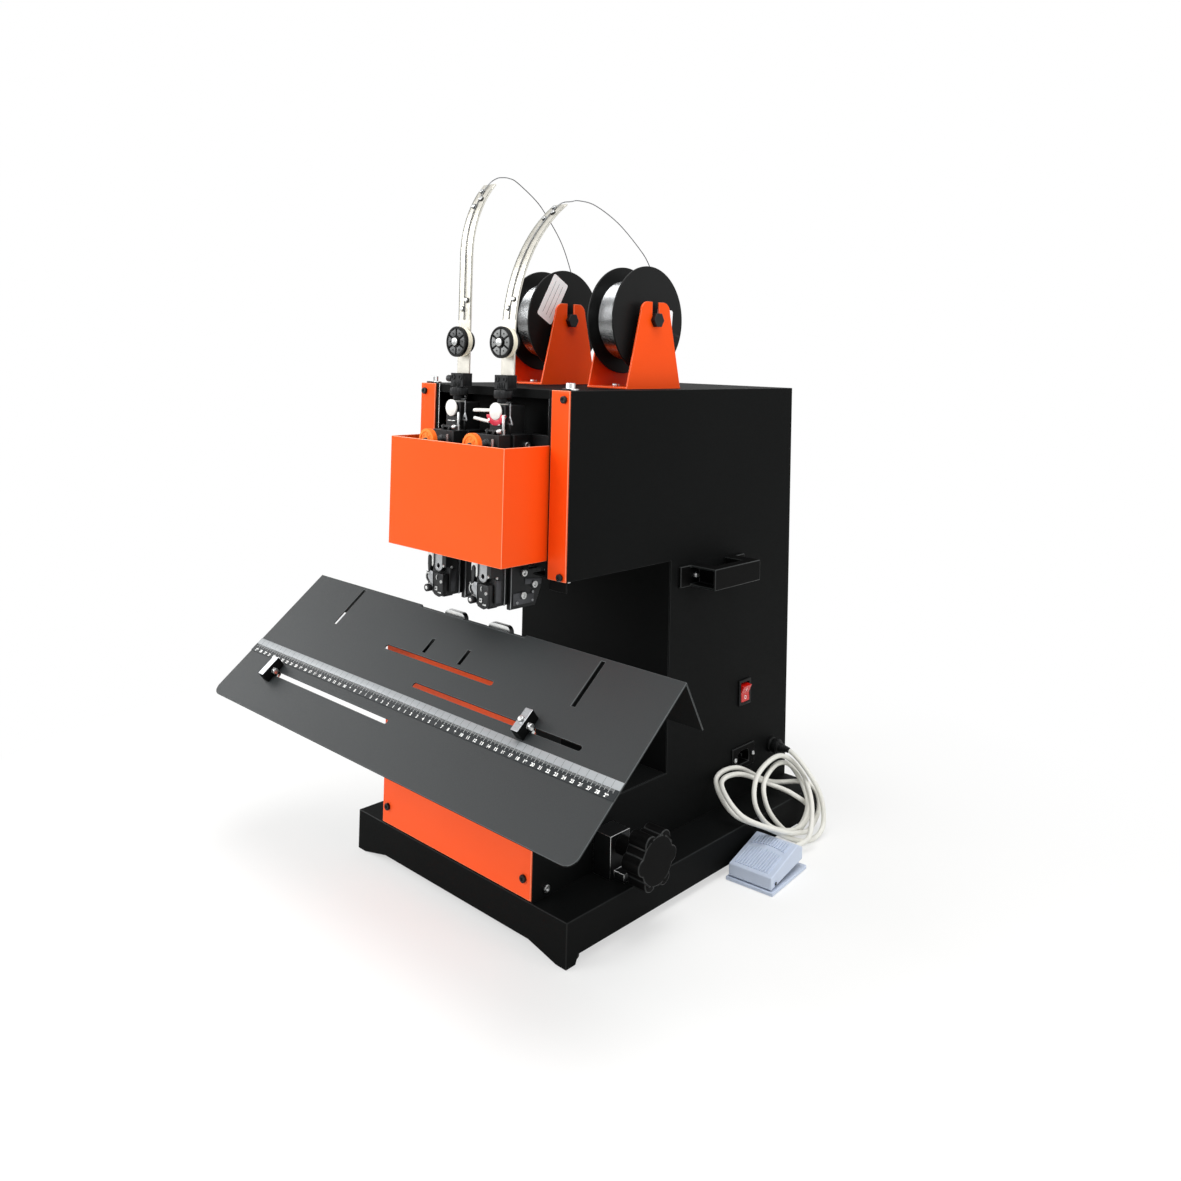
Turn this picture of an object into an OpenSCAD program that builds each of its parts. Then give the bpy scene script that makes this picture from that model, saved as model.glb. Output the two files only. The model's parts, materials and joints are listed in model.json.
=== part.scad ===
// Electric two-head wire stitcher for booklets, with a saddle table, two wire
// spools and a foot pedal. Millimetres, +Z up, +Y to the back, front at -Y.
// The origin lies on the bench, under the middle of the machine's box.

/* [Base] */
// width of the base
base_w = 350; // [320:1:420]
// depth of the base
base_d = 475; // [450:1:520]
// height of the base's top above the bench
base_h = 46; // [40:1:60]
// base sheet thickness
base_sheet = 3; // [2:0.5:4]
// how far the skirt is lifted between its corner feet
skirt_lift = 9; // [5:1:16]
// flat length of a corner foot on the front and back skirts
foot_flat = 14; // [10:1:30]
// length of the slope beside such a foot
foot_slope = 40; // [10:1:60]
// diameter of a rubber pad under a corner
pad_d = 28; // [20:1:34]

/* [Housing] */
// distance from the origin to the back face
back_y = 302; // [295:1:310]
// width of the housing over its side panels
body_w = 250; // [244:1:270]
// housing sheet thickness
body_sheet = 2; // [1.5:0.25:3]
// height of the top cover
body_top = 565; // [560:1:600]
// height of the arm's underside
arm_z = 364; // [358:1:372]
// height of the lower deck in the throat
deck_z = 117; // [112:1:140]
// depth of the rear column
column_d = 258; // [240:1:262]
// how far the arm reaches in front of the column
arm_reach = 177; // [175:1:200]
// height of the front pedestal
pedestal_z = 258; // [230:1:259]
// depth of the front pedestal
pedestal_d = 37; // [30:1:42]
// gap between the base and the front panel
panel_gap = 3; // [0:0.5:6]
// front panel sheet thickness
panel_t = 2; // [1.5:0.25:3]

/* [Arm front] */
// width of a front strap
strap_w = 26.5; // [22:0.5:28]
// strap sheet thickness
strap_t = 2; // [1.5:0.25:3]
// width of the guard tray
tray_w = 191.5; // [180:0.5:194]
// how far the tray stands out of the arm
tray_reach = 66.4; // [64:0.2:75]
// height of the tray's wall
tray_h = 123; // [100:1:124]
// height of the tray's lower edge above the arm's underside
tray_lift = 18.5; // [12:0.5:24]
// tray sheet thickness
tray_t = 1.5; // [1:0.25:2]
// height of the lip under the arm's front edge
lip_h = 12; // [6:1:14]

/* [Stitching heads] */
// distance between the two heads
head_pitch = 75; // [72:1:84]
// width of a head body
head_w = 38; // [34:1:40]
// depth of a head body in front of its rail
head_d = 45; // [40:1:46]
// how far a head reaches below the arm
head_drop = 32; // [20:1:34]
// height of a head body
head_h = 183; // [175:1:186]
// height of the neck above a head body
neck_h = 31; // [28:1:36]
// width of the neck
neck_w = 24; // [22:1:30]
// distance from the arm's front to the rail's front
rail_set = 6; // [5:0.5:8]
// thickness of the rails behind the heads
rail_t = 10; // [6:0.5:10]
// width of a driver slide
driver_w = 13; // [10:0.5:16]
// distance of a driver slide from the middle of its head
driver_x = 6; // [4:0.5:6]
// thickness of a driver slide
driver_t = 5.5; // [4:0.5:7]
// length of a driver slide
driver_l = 113; // [100:1:116]
// thickness of a head's side plate
side_plate_t = 5; // [3:0.5:6]
// diameter of a head knob
knob_d = 21; // [18:1:24]
// height of a head knob
knob_h = 16; // [12:0.5:16.5]
// diameter of the post in a head knob
post_d = 8; // [6:0.5:10]
// diameter of a feed wheel
feed_d = 26.4; // [22:0.2:28]
// thickness of a feed wheel
feed_t = 6.4; // [4:0.2:8]
// diameter of the pin in a feed wheel
feed_pin_d = 6; // [5:0.5:8]
// stroke of the drivers
stroke = 45; // [35:1:45]

/* [Wire guides] */
// width of a guide strip
strip_w = 21; // [16:0.5:22]
// strip thickness
strip_t = 2; // [1.5:0.25:3]
// height at which the left strip starts to bend
left_bend_z = 715; // [700:1:730]
// bend radius of the left strip
left_bend_r = 128.5; // [110:0.5:150]
// bend angle of the left strip
left_bend_a = 42; // [35:0.5:46]
// height at which the right strip starts to bend
right_bend_z = 625; // [624:1:627]
// bend radius of the right strip
right_bend_r = 187.5; // [176:0.5:200]
// bend angle of the right strip
right_bend_a = 53.9; // [45:0.1:56]
// diameter of a guide roller
roller_d = 35; // [30:0.5:38]
// thickness of a guide roller
roller_t = 11.5; // [8:0.5:12]
// height of the guide rollers
roller_z = 615; // [605:1:616]
// diameter of a roller axle
axle_d = 5; // [4:0.5:8]
// diameter of the stitching wire as it is drawn
wire_d = 1.2; // [0.8:0.1:1.6]

/* [Spools] */
// distance between the spools
spool_pitch = 140; // [138:1:160]
// position of the spool axle, front to back
spool_y = 34.5; // [20:0.5:50]
// height of the spool axle above the top cover
spool_rise = 81.5; // [76:0.5:100]
// flange diameter
flange_d = 129; // [115:0.5:140]
// flange thickness
flange_t = 2.5; // [2:0.25:4]
// width over the flanges
spool_w = 41; // [38:0.5:46]
// diameter of the drum under the winding
drum_d = 90; // [70:1:100]
// diameter of the spool axle
spool_axle_d = 12; // [10:0.5:16]
// size across the flats of the axle's hexagon ends
axle_hex = 16; // [14:0.5:20]
// thickness of those ends
axle_hex_t = 6; // [4:0.5:8]
// width of a bracket over its plates
bracket_w = 62; // [60:1:68]
// length of a bracket's foot
bracket_l = 100; // [90:1:120]
// width of a bracket plate at its top
bracket_top = 54; // [46:1:70]
// height of a bracket plate above the axle
bracket_over = 21.5; // [15:0.5:30]
// bracket sheet thickness
bracket_t = 2; // [1.5:0.25:3]
// diameter of the wound wire as it is drawn
winding_d = 2.4; // [2:0.1:2.6]
// turns of the winding
winding_turns = 9; // [4:1:9]

/* [Saddle table] */
// width of the table
table_w = 600; // [560:1:640]
// sheet thickness of the table
table_t = 2; // [1.5:0.25:3]
// height of the ridge
ridge_z = 306; // [304:0.5:308]
// length of the front slope
slope_l = 190.5; // [170:0.5:200]
// angle of the front slope
slope_a = 38.65; // [36:0.05:41]
// length of the rear flap
flap_l = 57; // [40:0.5:60]
// angle of the rear flap
flap_a = 61; // [57:0.5:64]
// radius of the front corners
corner_r = 12; // [6:0.5:20]
// width of the slots in the table
slot_w = 5.5; // [5.4:0.1:7]
// distance of the right stop's slot down the slope
right_slot_s = 93.7; // [92:0.1:95]
// distance of the left stop's slot down the slope
left_slot_s = 141; // [140:0.5:150]
// distance of the upper slot down the slope
upper_slot_s = 63.5; // [62:0.5:70]
// upper edge of the ruler down the slope
ruler_s = 108.4; // [107.5:0.1:109]
// width of the ruler strip
ruler_w = 18.4; // [12:0.1:18.4]
// thickness of the ruler strip
ruler_t = 0.6; // [0.4:0.1:1]
// length of a clincher
clinch_l = 35; // [28:0.5:36]
// height of a clincher above the ridge
clinch_h = 2.5; // [2:0.5:6]
// travel of the table's height setting
table_drop = 8; // [2:0.5:8]

/* [Stops] */
// width of a stop, along the ridge
stop_w = 10; // [8:0.5:16]
// length of a stop, down the slope
stop_l = 26; // [18:0.5:26]
// height of a stop over the table
stop_h = 13; // [8:0.5:18]
// diameter of the stem through the slot
stem_d = 5; // [4:0.1:5]
// position of the left stop
left_stop_x = -226; // [-234:1:-6]
// position of the right stop
right_stop_x = 168; // [-5:1:234]

/* [Table clamp] */
// length of the clamp block out of the side panel
clamp_l = 25; // [15:0.5:30]
// depth of the clamp block
clamp_d = 31; // [24:0.5:40]
// height of the clamp block
clamp_h = 46; // [44:0.5:60]
// position of the clamp screw, front to back
clamp_y = -66; // [-75:1:-55]
// height of the clamp screw above the base
clamp_rise = 34; // [30:0.5:36]
// diameter of the clamp screw
clamp_screw_d = 12; // [8:0.5:12]
// diameter over the hand knob's lobes
hand_knob_d = 63; // [50:1:65]
// thickness of the hand knob
hand_knob_t = 24; // [18:0.5:30]
// distance of the hand knob from the side panel
hand_knob_out = 53; // [34:0.5:60]

/* [Handles] */
// length of a handle's grip
grip_l = 94; // [80:1:130]
// how far a handle stands out
grip_out = 40; // [34:1:60]
// height of a handle
grip_h = 25; // [18:1:32]
// thickness of the grip bar
grip_t = 14; // [10:0.5:18]
// length of a handle's end leg
leg_l = 20; // [16:1:24]
// position of the grip's front end
grip_y = 77; // [60:1:100]
// height of the handles' middle
grip_z = 343; // [320:1:380]

/* [Side panel fittings] */
// position of the switch, front to back
switch_y = 200; // [120:1:240]
// height of the switch
switch_z = 177.5; // [160:0.5:200]
// width of the switch bezel
bezel_w = 26; // [22:0.5:30]
// height of the switch bezel
bezel_h = 32; // [28:0.5:36]
// diameter of the pin that the rocker tilts on
rocker_pin_d = 3; // [2:0.25:4]
// position of the mains inlet, front to back
inlet_y = 199; // [120:1:220]
// height of the mains inlet
inlet_z = 96; // [80:1:110]
// length of the inlet's flange
inlet_w = 48; // [46:0.5:54]
// height of the inlet's flange
inlet_h = 28; // [26:0.5:32]
// position of the pedal connector, front to back
socket_y = 265; // [250:1:280]
// height of the pedal connector
socket_z = 94; // [80:1:110]
// diameter of the pedal connector
socket_d = 17; // [14:0.5:22]

/* [Pedal] */
// distance of the pedal's middle from the base's right edge
pedal_x = 36.5; // [36:0.5:41]
// position of the pedal's front edge
pedal_y = 89; // [86:1:91]
// turn of the pedal on the floor
pedal_yaw = 5; // [3:0.5:6]
// width of the pedal's base
pedal_w = 60; // [57:1:61]
// length of the pedal's base
pedal_l = 86; // [84:1:88]
// width of the treadle
treadle_w = 55; // [50:1:56]
// length of the treadle
treadle_l = 78; // [76:1:79]
// height of the treadle at its front
treadle_low = 19; // [17:0.5:24]
// height of the treadle at its back
treadle_high = 33; // [30:0.5:40]
// treadle wall thickness
treadle_t = 2; // [1.5:0.25:3]
// diameter of the pedal cord
cord_d = 6; // [5:0.1:6]

/* [Drive] */
// diameter of the main shaft
shaft_d = 20; // [14:0.5:20]
// thickness of the heart cam
cam_t = 12; // [8:0.5:12]
// least pitch radius of the cam
cam_low = 34; // [32:0.5:34]
// diameter of the follower pin
follower_d = 12; // [8:0.5:12]
// diameter of a guide rod
rod_d = 10; // [8:0.5:12]
// diameter of the motor
motor_d = 90; // [70:1:92]
// length of the motor
motor_l = 140; // [100:1:200]

/* [Screws] */
// head diameter of a sheet screw
screw_d = 8; // [6:0.5:10]
// head height of a sheet screw
screw_h = 3; // [2:0.5:4]
// shank diameter of a sheet screw
shank_d = 4; // [3:0.5:5]

/* [Clearances] */
// play between a shaft and its bore, across the diameter
run = 0.1; // [0.04:0.02:0.18]
// gap between faces that slide
slide = 0.3; // [0.2:0.05:0.5]
// gap round a piece set in a cut-out, on each side
fit = 0.25; // [0.1:0.05:0.5]

/* [Hidden] */
$fn = 64;

orange = [0.95, 0.35, 0.12];
black = [0.12, 0.12, 0.12];
grey = [0.36, 0.38, 0.38];
steel = [0.75, 0.76, 0.78];
white = [0.92, 0.92, 0.9];
blue = [0.69, 0.75, 0.84];
red = [0.8, 0.08, 0.06];

// the housing's main lines
half_w = body_w / 2;
in_w = half_w - body_sheet;
base_front = back_y - base_d;
col_front = back_y - column_d;
arm_front = col_front - arm_reach;
ped_back = base_front + pedestal_d;
flange_x = tray_w / 2 - 3;

// the heads' main lines
rail_y = arm_front + rail_set;
rail_back = rail_y + rail_t;
head_front = rail_y - head_d;
head_z = arm_z - head_drop;
head_top = head_z + head_h;
neck_top = head_top + neck_h;
neck_front = head_front + 15;
post_y = neck_front + 8;
knob_z = neck_top + 0.5;
clamp_z = knob_z + knob_h + 1;
clamp_top = clamp_z + 15.5;
feed_z = head_top - 11;
upper_rail_z = head_top - 35;
lower_rail_z = arm_z + 8;
driver_y = head_front - slide - driver_t;
driver_z = arm_z - 7;
blade_y = head_front + 18.5;

// the crosshead runs between the rails and the inner plate
cross_y = rail_back + 2;
cross_t = 12;
inner_y = cross_y + cross_t + 3;
shaft_y = inner_y + 55;
shaft_z = arm_z + 121;
follower_z = shaft_z - cam_low;
cross_z = follower_z - 11;
arm_h = 12;
cross_arm_z = follower_z - 5;
rod_x = 75;

// the wire guides
strip_y = post_y + 6;
function strip_tip(z, r, a) = [strip_y + r - r * cos(a), z + r * sin(a)];

// the spools
spool_z = body_top + spool_rise;
spool_in = spool_w / 2 - flange_t;

// the table
ridge_y = base_front + 19.6;
slope_c = cos(slope_a);
slope_s = sin(slope_a);
slope_t = slope_s / slope_c;
flap_t = sin(flap_a) / cos(flap_a);
mitre = 1 + cos(slope_a + flap_a);
under_y = ridge_y - table_t * (sin(flap_a) - slope_s) / mitre;
under_z = ridge_z - table_t * (slope_c + cos(flap_a)) / mitre;
post_x = in_w - 39;
beam_x = table_w / 2 - 144;
post_front = ridge_y - 8.6;
post_back = ridge_y + 1.4;
tail_z = base_h + 16;
tail_h = 48;
clamp_z0 = base_h + clamp_rise;

// the pedal's middle, and the height of the cord's way into it
pedal_mid = base_w / 2 + pedal_x;
pedal_exit_z = 9;

// the cord lies over the base's side margin, which is drawn 50 wide, and beyond it
margin = base_w / 2 - half_w;
function across(x) = half_w + (x < 50 ? x * margin / 50 : margin + x - 50);

// the pedal cord's route from the connector to the pedal, chosen by hand
cord_over = [
  [33, 265, 92], [55, 264, 77], [72, 271, 48], [79, 268, 16], [80, 246, 4.5], [74, 214, 9],
  [71, 150, 43.5], [41, 120, 61], [8, 132, 87], [6, 180, 88], [13, 244, 55], [48, 281, 53],
  [64, 283, 30], [67, 258, 9], [72, 222, 15.5], [81, 160, 40.5], [59.5, 112, 66], [21, 125, 88],
  [15, 172, 85], [25, 224, 61], [51, 239.5, 51.5], [59.5, 266.5, 26], [56, 234, 5], [54, 184, 44],
  [43, 184, 76], [22, 246, 79], [28.5, 274, 69.5], [64, 253.5, 43], [63, 232, 15], [61, 174, 34],
  [53, 150, 67], [39, 178, 91], [25, 250, 90], [44, 270, 70], [71.5, 250, 46.5], [87, 222, 20],
  [84, 208, 11], [78, 190, 9]];
cord_route = concat([[half_w + 19, socket_y, socket_z]], [for (p = cord_over) [across(p[0]), p[1], p[2]]],
  [[pedal_mid - pedal_l * sin(pedal_yaw), pedal_y + pedal_l * cos(pedal_yaw), pedal_exit_z]]);

// vectors and tubes
function unit(v) = v / norm(v);
function curve(p, i, t) =
  let (n = len(p) - 1, a = p[max(i - 1, 0)], b = p[i], c = p[min(i + 1, n)], d = p[min(i + 2, n)])
  0.5 * (2 * b + (c - a) * t + (2 * a - 5 * b + 4 * c - d) * t * t + (3 * b - a - 3 * c + d) * t * t * t);
function smooth(p, k) = concat([for (i = [0 : len(p) - 2]) for (j = [0 : k - 1]) curve(p, i, j / k)], [p[len(p) - 1]]);
function tangents(p) = [for (i = [0 : len(p) - 1]) unit(p[min(i + 1, len(p) - 1)] - p[max(i - 1, 0)])];
function carry(n, t) = unit(n - (n * t) * t);
function carried(ts, n, i = 0) =
  i == len(ts) ? [] : let (m = carry(n, ts[i])) concat([m], carried(ts, m, i + 1));
function least_gap(p, d, skip) =
  min([for (i = [0 : len(p) - 1]) for (j = [i + skip : 1 : len(p) - 1]) norm(p[i] - p[j])]) - d;

module tube(p, d, sides, first) {
  ts = tangents(p);
  ns = carried(ts, first);
  n = len(p);
  ring = [for (i = [0 : n - 1]) for (k = [0 : sides - 1])
    p[i] + d / 2 * (cos(360 * k / sides) * ns[i] + sin(360 * k / sides) * cross(ts[i], ns[i]))];
  wall = [for (i = [0 : n - 2]) for (k = [0 : sides - 1]) let (a = i * sides + k, b = i * sides + (k + 1) % sides)
    [a, a + sides, b + sides, b]];
  polyhedron(ring, concat(wall, [[for (k = [0 : sides - 1]) k]],
    [[for (k = [sides - 1 : -1 : 0]) (n - 1) * sides + k]]), convexity = 10);
}

// plates drawn in the YZ or XZ plane, and round bars along an axis
module yz(t) rotate([90, 0, 90]) linear_extrude(t) children();
module xz(t) translate([0, t, 0]) rotate([90, 0, 0]) linear_extrude(t) children();
module bar_x(d, l) rotate([0, 90, 0]) cylinder(d = d, h = l);
module bar_y(d, l) rotate([-90, 0, 0]) cylinder(d = d, h = l);
module both() {
  children();
  mirror([1, 0, 0]) children();
}
module heads() for (s = [-1, 1]) translate([s * head_pitch / 2, 0, 0]) children();
// a frame on the slope: x along the ridge, y up the slope from the ridge, z out of the sheet
module on_slope() translate([0, ridge_y, ridge_z]) rotate([slope_a, 0, 0]) children();
module round_slot(x0, x1, s, w) {
  translate([x0 + w / 2, -s - w / 2]) square([x1 - x0 - w, w]);
  translate([x0 + w / 2, -s]) circle(d = w, $fn = 24);
  translate([x1 - w / 2, -s]) circle(d = w, $fn = 24);
}

module skirt_gap(l, flat, slope)
  polygon([[-l / 2 + flat, -1], [-l / 2 + flat, 0], [-l / 2 + flat + slope, skirt_lift],
    [l / 2 - flat - slope, skirt_lift], [l / 2 - flat, 0], [l / 2 - flat, -1]]);

module base_plinth() color(black) {
  difference() {
    translate([-base_w / 2, base_front, 0]) cube([base_w, base_d, base_h]);
    translate([-base_w / 2 + base_sheet, base_front + base_sheet, -1])
      cube([base_w - 2 * base_sheet, base_d - 2 * base_sheet, base_h + 1 - base_sheet]);
    translate([0, base_front - 1, 0]) xz(base_d + 2) skirt_gap(base_w, foot_flat, foot_slope);
    translate([-base_w / 2 - 1, base_front + base_d / 2, 0]) yz(base_w + 2) skirt_gap(base_d, foot_flat, 4);
  }
  for (x = [-1, 1]) for (y = [0, 1])
    translate([x * (base_w / 2 - 1 - pad_d / 2 - 4) - pad_d / 2 - 3, base_front + 1 + y * (base_d - pad_d - 8), skirt_lift])
      cube([pad_d + 6, pad_d + 6, 3]);
}

module rubber_feet() color(black)
  for (x = [-1, 1]) for (y = [0, 1])
    translate([x * (base_w / 2 - base_sheet - 3 - pad_d / 2),
      base_front + base_sheet + 3 + pad_d / 2 + y * (base_d - pad_d - 2 * base_sheet - 6), 0])
      cylinder(d = pad_d, h = skirt_lift);

module side_profile() polygon([[base_front, base_h], [back_y, base_h], [back_y, body_top], [arm_front, body_top],
  [arm_front, arm_z], [col_front, arm_z], [col_front, deck_z], [ped_back, deck_z], [ped_back, pedestal_z],
  [base_front, pedestal_z]]);

module side_panel() {
  translate([in_w, 0, 0]) yz(body_sheet) side_profile();
  translate([flange_x, arm_front, arm_z]) cube([in_w - flange_x, body_sheet, body_top - arm_z]);
}

module left_side_panel() color(black) mirror([1, 0, 0]) side_panel();

module right_side_panel() color(black) difference() {
  side_panel();
  translate([in_w - 1, clamp_y, clamp_z0]) bar_x(clamp_screw_d + 2, body_sheet + 2);
  translate([in_w - 1, switch_y - bezel_w / 2 + 2.5 - fit, switch_z - bezel_h / 2 + 2 - fit])
    cube([body_sheet + 2, bezel_w - 5 + 2 * fit, bezel_h - 4 + 2 * fit]);
  translate([in_w - 1, inlet_y - 14 - fit, inlet_z - 10.5 - fit]) cube([body_sheet + 2, 28 + 2 * fit, 21 + 2 * fit]);
  translate([in_w - 1, socket_y, socket_z]) bar_x(socket_d - 3 + 2 * fit, body_sheet + 2);
}

module top_cover() color(black) {
  translate([-in_w, arm_front + body_sheet, body_top - body_sheet])
    cube([2 * in_w, back_y - arm_front - 2 * body_sheet, body_sheet]);
  translate([-flange_x, arm_front + body_sheet, body_top - 10]) cube([2 * flange_x, body_sheet, 10]);
}

module rear_cover() color(black) difference() {
  translate([-in_w, back_y - body_sheet, base_h]) cube([2 * in_w, body_sheet, body_top - base_h]);
  for (i = [0 : 5]) translate([-50, back_y - body_sheet - 1, 420 + 14 * i]) cube([100, body_sheet + 2, 5]);
}

module arm_floor() color(black) difference() {
  union() {
    translate([-in_w, arm_front + body_sheet, arm_z])
      cube([2 * in_w, col_front - arm_front - body_sheet, body_sheet]);
    translate([in_w - 26, arm_front + body_sheet, arm_z - lip_h]) cube([26, body_sheet, lip_h + body_sheet]);
  }
  translate([-68, arm_front - 1, arm_z - lip_h - 1]) cube([140, inner_y - arm_front + 1, lip_h + body_sheet + 2]);
}

module throat_plate() color(black)
  translate([-in_w, col_front, deck_z - body_sheet]) cube([2 * in_w, body_sheet, arm_z - deck_z + 2 * body_sheet]);

module pedestal_sheet() color(black) difference() {
  union() {
    translate([-in_w, ped_back - body_sheet, deck_z - body_sheet])
      cube([2 * in_w, col_front - ped_back + body_sheet, body_sheet]);
    translate([-in_w, ped_back - body_sheet, deck_z - body_sheet])
      cube([2 * in_w, body_sheet, pedestal_z - deck_z + body_sheet]);
    translate([-in_w, base_front, pedestal_z - body_sheet]) cube([2 * in_w, pedestal_d, body_sheet]);
  }
  translate([-post_x - 2, post_front - 2, pedestal_z - body_sheet - 1])
    cube([2 * post_x + 4, post_back - post_front + 4, body_sheet + 2]);
}

panel_screws = [for (x = [-1, 1]) for (z = [base_h + 23, pedestal_z - 18]) [x * (half_w - 10), z]];
module front_panel() color(orange) difference() {
  translate([-half_w, base_front - panel_t, base_h + panel_gap])
    cube([body_w, panel_t, pedestal_z - base_h - panel_gap]);
  for (p = panel_screws) translate([p[0], base_front - panel_t - 1, p[1]]) bar_y(shank_d + 2 * fit, panel_t + 2);
}

module inner_plate() color(grey) difference() {
  translate([-in_w, inner_y, arm_z + body_sheet]) cube([2 * in_w, body_sheet, body_top - arm_z - 2 * body_sheet]);
  translate([-15, inner_y - 1, cross_z - stroke - 3]) cube([30, body_sheet + 2, stroke + 34]);
}

strap_x = half_w - 7.5;
strap_screw_z = [arm_z + 4.5, body_top - 9.5];
module front_straps() color(orange) both() difference() {
  translate([half_w - strap_w, arm_front - strap_t, arm_z]) cube([strap_w, strap_t, body_top - arm_z]);
  for (z = strap_screw_z) translate([strap_x, arm_front - strap_t - 1, z]) bar_y(shank_d + 2 * fit, strap_t + 2);
  translate([-tray_w / 2 - fit, arm_front - strap_t - 1, arm_z + tray_lift - fit])
    cube([tray_w + 2 * fit, strap_t + 2, tray_h + 2 * fit]);
}

module guard_tray() color(orange) difference() {
  translate([-tray_w / 2, arm_front - tray_reach, arm_z + tray_lift]) cube([tray_w, tray_reach, tray_h]);
  translate([-tray_w / 2 + tray_t, arm_front - tray_reach + tray_t, arm_z + tray_lift - 1])
    cube([tray_w - 2 * tray_t, tray_reach, tray_h + 2]);
}

module head_rails() color(grey) {
  translate([-in_w, rail_y, upper_rail_z]) cube([2 * in_w, rail_t, 35]);
  translate([-in_w, rail_y, lower_rail_z]) cube([2 * in_w, rail_t, 20]);
}

module head_body() difference() {
  union() {
    translate([-head_w / 2, head_front, head_z]) cube([head_w, head_d, head_h]);
    translate([-neck_w / 2, neck_front, head_top]) cube([neck_w, rail_y - neck_front, neck_h]);
    for (s = [-1, 1])
      translate([driver_x + s * (driver_w / 2 + 3.5) - 3, head_front - driver_t - slide, driver_z + 6])
        cube([6, driver_t + slide + 1, driver_l - 16]);
    translate([-9, head_front + 1, head_z - 4]) cube([18, 13, 5]);
    translate([0, head_front - 2, feed_z]) bar_y(feed_pin_d + 5, 3);
    translate([0, head_front - feed_t - 19, feed_z]) bar_y(feed_pin_d, feed_t + 20);
    translate([driver_x - driver_w / 2 - 4.75, head_front - 13, head_z + 6]) bar_y(8.5, 14);
  }
  translate([-5, head_front - 1 - slide, cross_arm_z - stroke - 2]) cube([10, head_d + 2 + slide, stroke + arm_h + 4]);
  translate([-3.5, blade_y - 0.5, head_z - 5]) cube([7, 6, cross_arm_z - head_z + 8]);
}

module left_head() color(grey) translate([-head_pitch / 2, 0, 0]) head_body();
module right_head() color(grey) translate([head_pitch / 2, 0, 0]) head_body();

side_plate_screws = [[rail_y - 8, head_top - 12], [rail_y - 8, head_top - 60], [rail_y - 8, head_top - 110],
  [rail_y - 8, arm_z + 1], [rail_y + 8, head_z + 18.5], [rail_y - 8.5, head_z + 8.5]];
module head_side_plates() color(black) heads() translate([head_w / 2, 0, 0]) yz(side_plate_t)
  polygon([[rail_y - 27, head_z - 5], [rail_y + 11, head_z - 5], [rail_y + 19, head_z + 13], [rail_y + 19, arm_z + 4],
    [rail_y, arm_z + 4], [rail_y, head_top], [rail_y - 27, head_top]]);

module head_caps() {
  color(white) heads() translate([0, neck_front - 4, head_top + 24.5]) bar_y(19, 4);
  color(white) for (z = [14.5, 24]) translate([head_pitch / 2 - 37, neck_front - 2.2, head_top + z]) bar_x(3, 37 - 8);
}

module wire_clamps() color(steel) heads() {
  translate([-10.5, post_y - 4, clamp_z]) cube([21, 14, clamp_top - clamp_z]);
  translate([0, post_y, neck_top]) cylinder(d = post_d, h = clamp_z - neck_top + 1);
}

module guide_strip(z, r, a) difference() {
  union() {
    translate([-strip_w / 2, strip_y - strip_t / 2, clamp_top]) cube([strip_w, strip_t, z - clamp_top]);
    translate([0, strip_y + r, z]) rotate([90, 0, -90]) rotate_extrude(angle = a, $fn = 180)
      translate([r - strip_t / 2, -strip_w / 2]) square([strip_t, strip_w]);
  }
  translate([0, strip_y - strip_t, roller_z]) bar_y(axle_d + run, 2 * strip_t);
}

module left_wire_guide() color(steel) translate([-head_pitch / 2, 0, 0])
  guide_strip(left_bend_z, left_bend_r, left_bend_a);
module right_wire_guide() color(steel) translate([head_pitch / 2, 0, 0])
  guide_strip(right_bend_z, right_bend_r, right_bend_a);

strip_front = strip_y - strip_t / 2;
module roller_axles() color(steel) heads() {
  translate([0, strip_front - roller_t - 2.5, roller_z]) bar_y(axle_d, roller_t + 2.5 + strip_t + 4);
  translate([0, strip_front - roller_t - 3, roller_z]) bar_y(9, 2);
  translate([0, strip_front + strip_t, roller_z]) bar_y(26, 4);
  translate([0, strip_front + strip_t + 3, roller_z]) bar_y(7, 9);
}

module roller() difference() {
  translate([0, strip_front - roller_t - 0.5, roller_z]) bar_y(roller_d, roller_t);
  translate([0, strip_front - roller_t - 2, roller_z]) bar_y(axle_d + run, roller_t + 4);
  translate([0, strip_front - roller_t - 1.5, roller_z]) difference() {
    bar_y(roller_d - 7, 4);
    translate([0, -1, 0]) bar_y(12, 6);
  }
}

module left_roller() color(white) translate([-head_pitch / 2, 0, 0]) roller();
module right_roller() color(white) translate([head_pitch / 2, 0, 0]) roller();

bracket_screws = [-34, 34];
module spool_bracket() difference() {
  union() {
    for (x = [-bracket_w / 2, bracket_w / 2 - bracket_t]) translate([x, spool_y, body_top]) yz(bracket_t) {
      r = 12;
      h = spool_rise + bracket_over;
      polygon([[-bracket_l / 2, 0], [bracket_l / 2, 0], [bracket_top / 2, h - r], [bracket_top / 2 - r, h],
        [r - bracket_top / 2, h], [-bracket_top / 2, h - r]]);
      for (s = [-1, 1]) translate([s * (bracket_top / 2 - r), h - r]) circle(r);
    }
    translate([-bracket_w / 2, spool_y - bracket_l / 2, body_top]) cube([bracket_w, bracket_l, bracket_t]);
  }
  translate([-bracket_w, spool_y, spool_z]) bar_x(spool_axle_d + 2 * fit, 2 * bracket_w);
  translate([-bracket_w, spool_y - spool_axle_d / 2 - fit, spool_z])
    cube([2 * bracket_w, spool_axle_d + 2 * fit, bracket_over + 1]);
  for (y = bracket_screws) translate([0, spool_y + y, body_top - 1]) cylinder(d = shank_d + 2 * fit, h = bracket_t + 2);
}

module left_spool_bracket() color(orange) translate([-spool_pitch / 2, 0, 0]) spool_bracket();
module right_spool_bracket() color(orange) translate([spool_pitch / 2, 0, 0]) spool_bracket();

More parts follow.
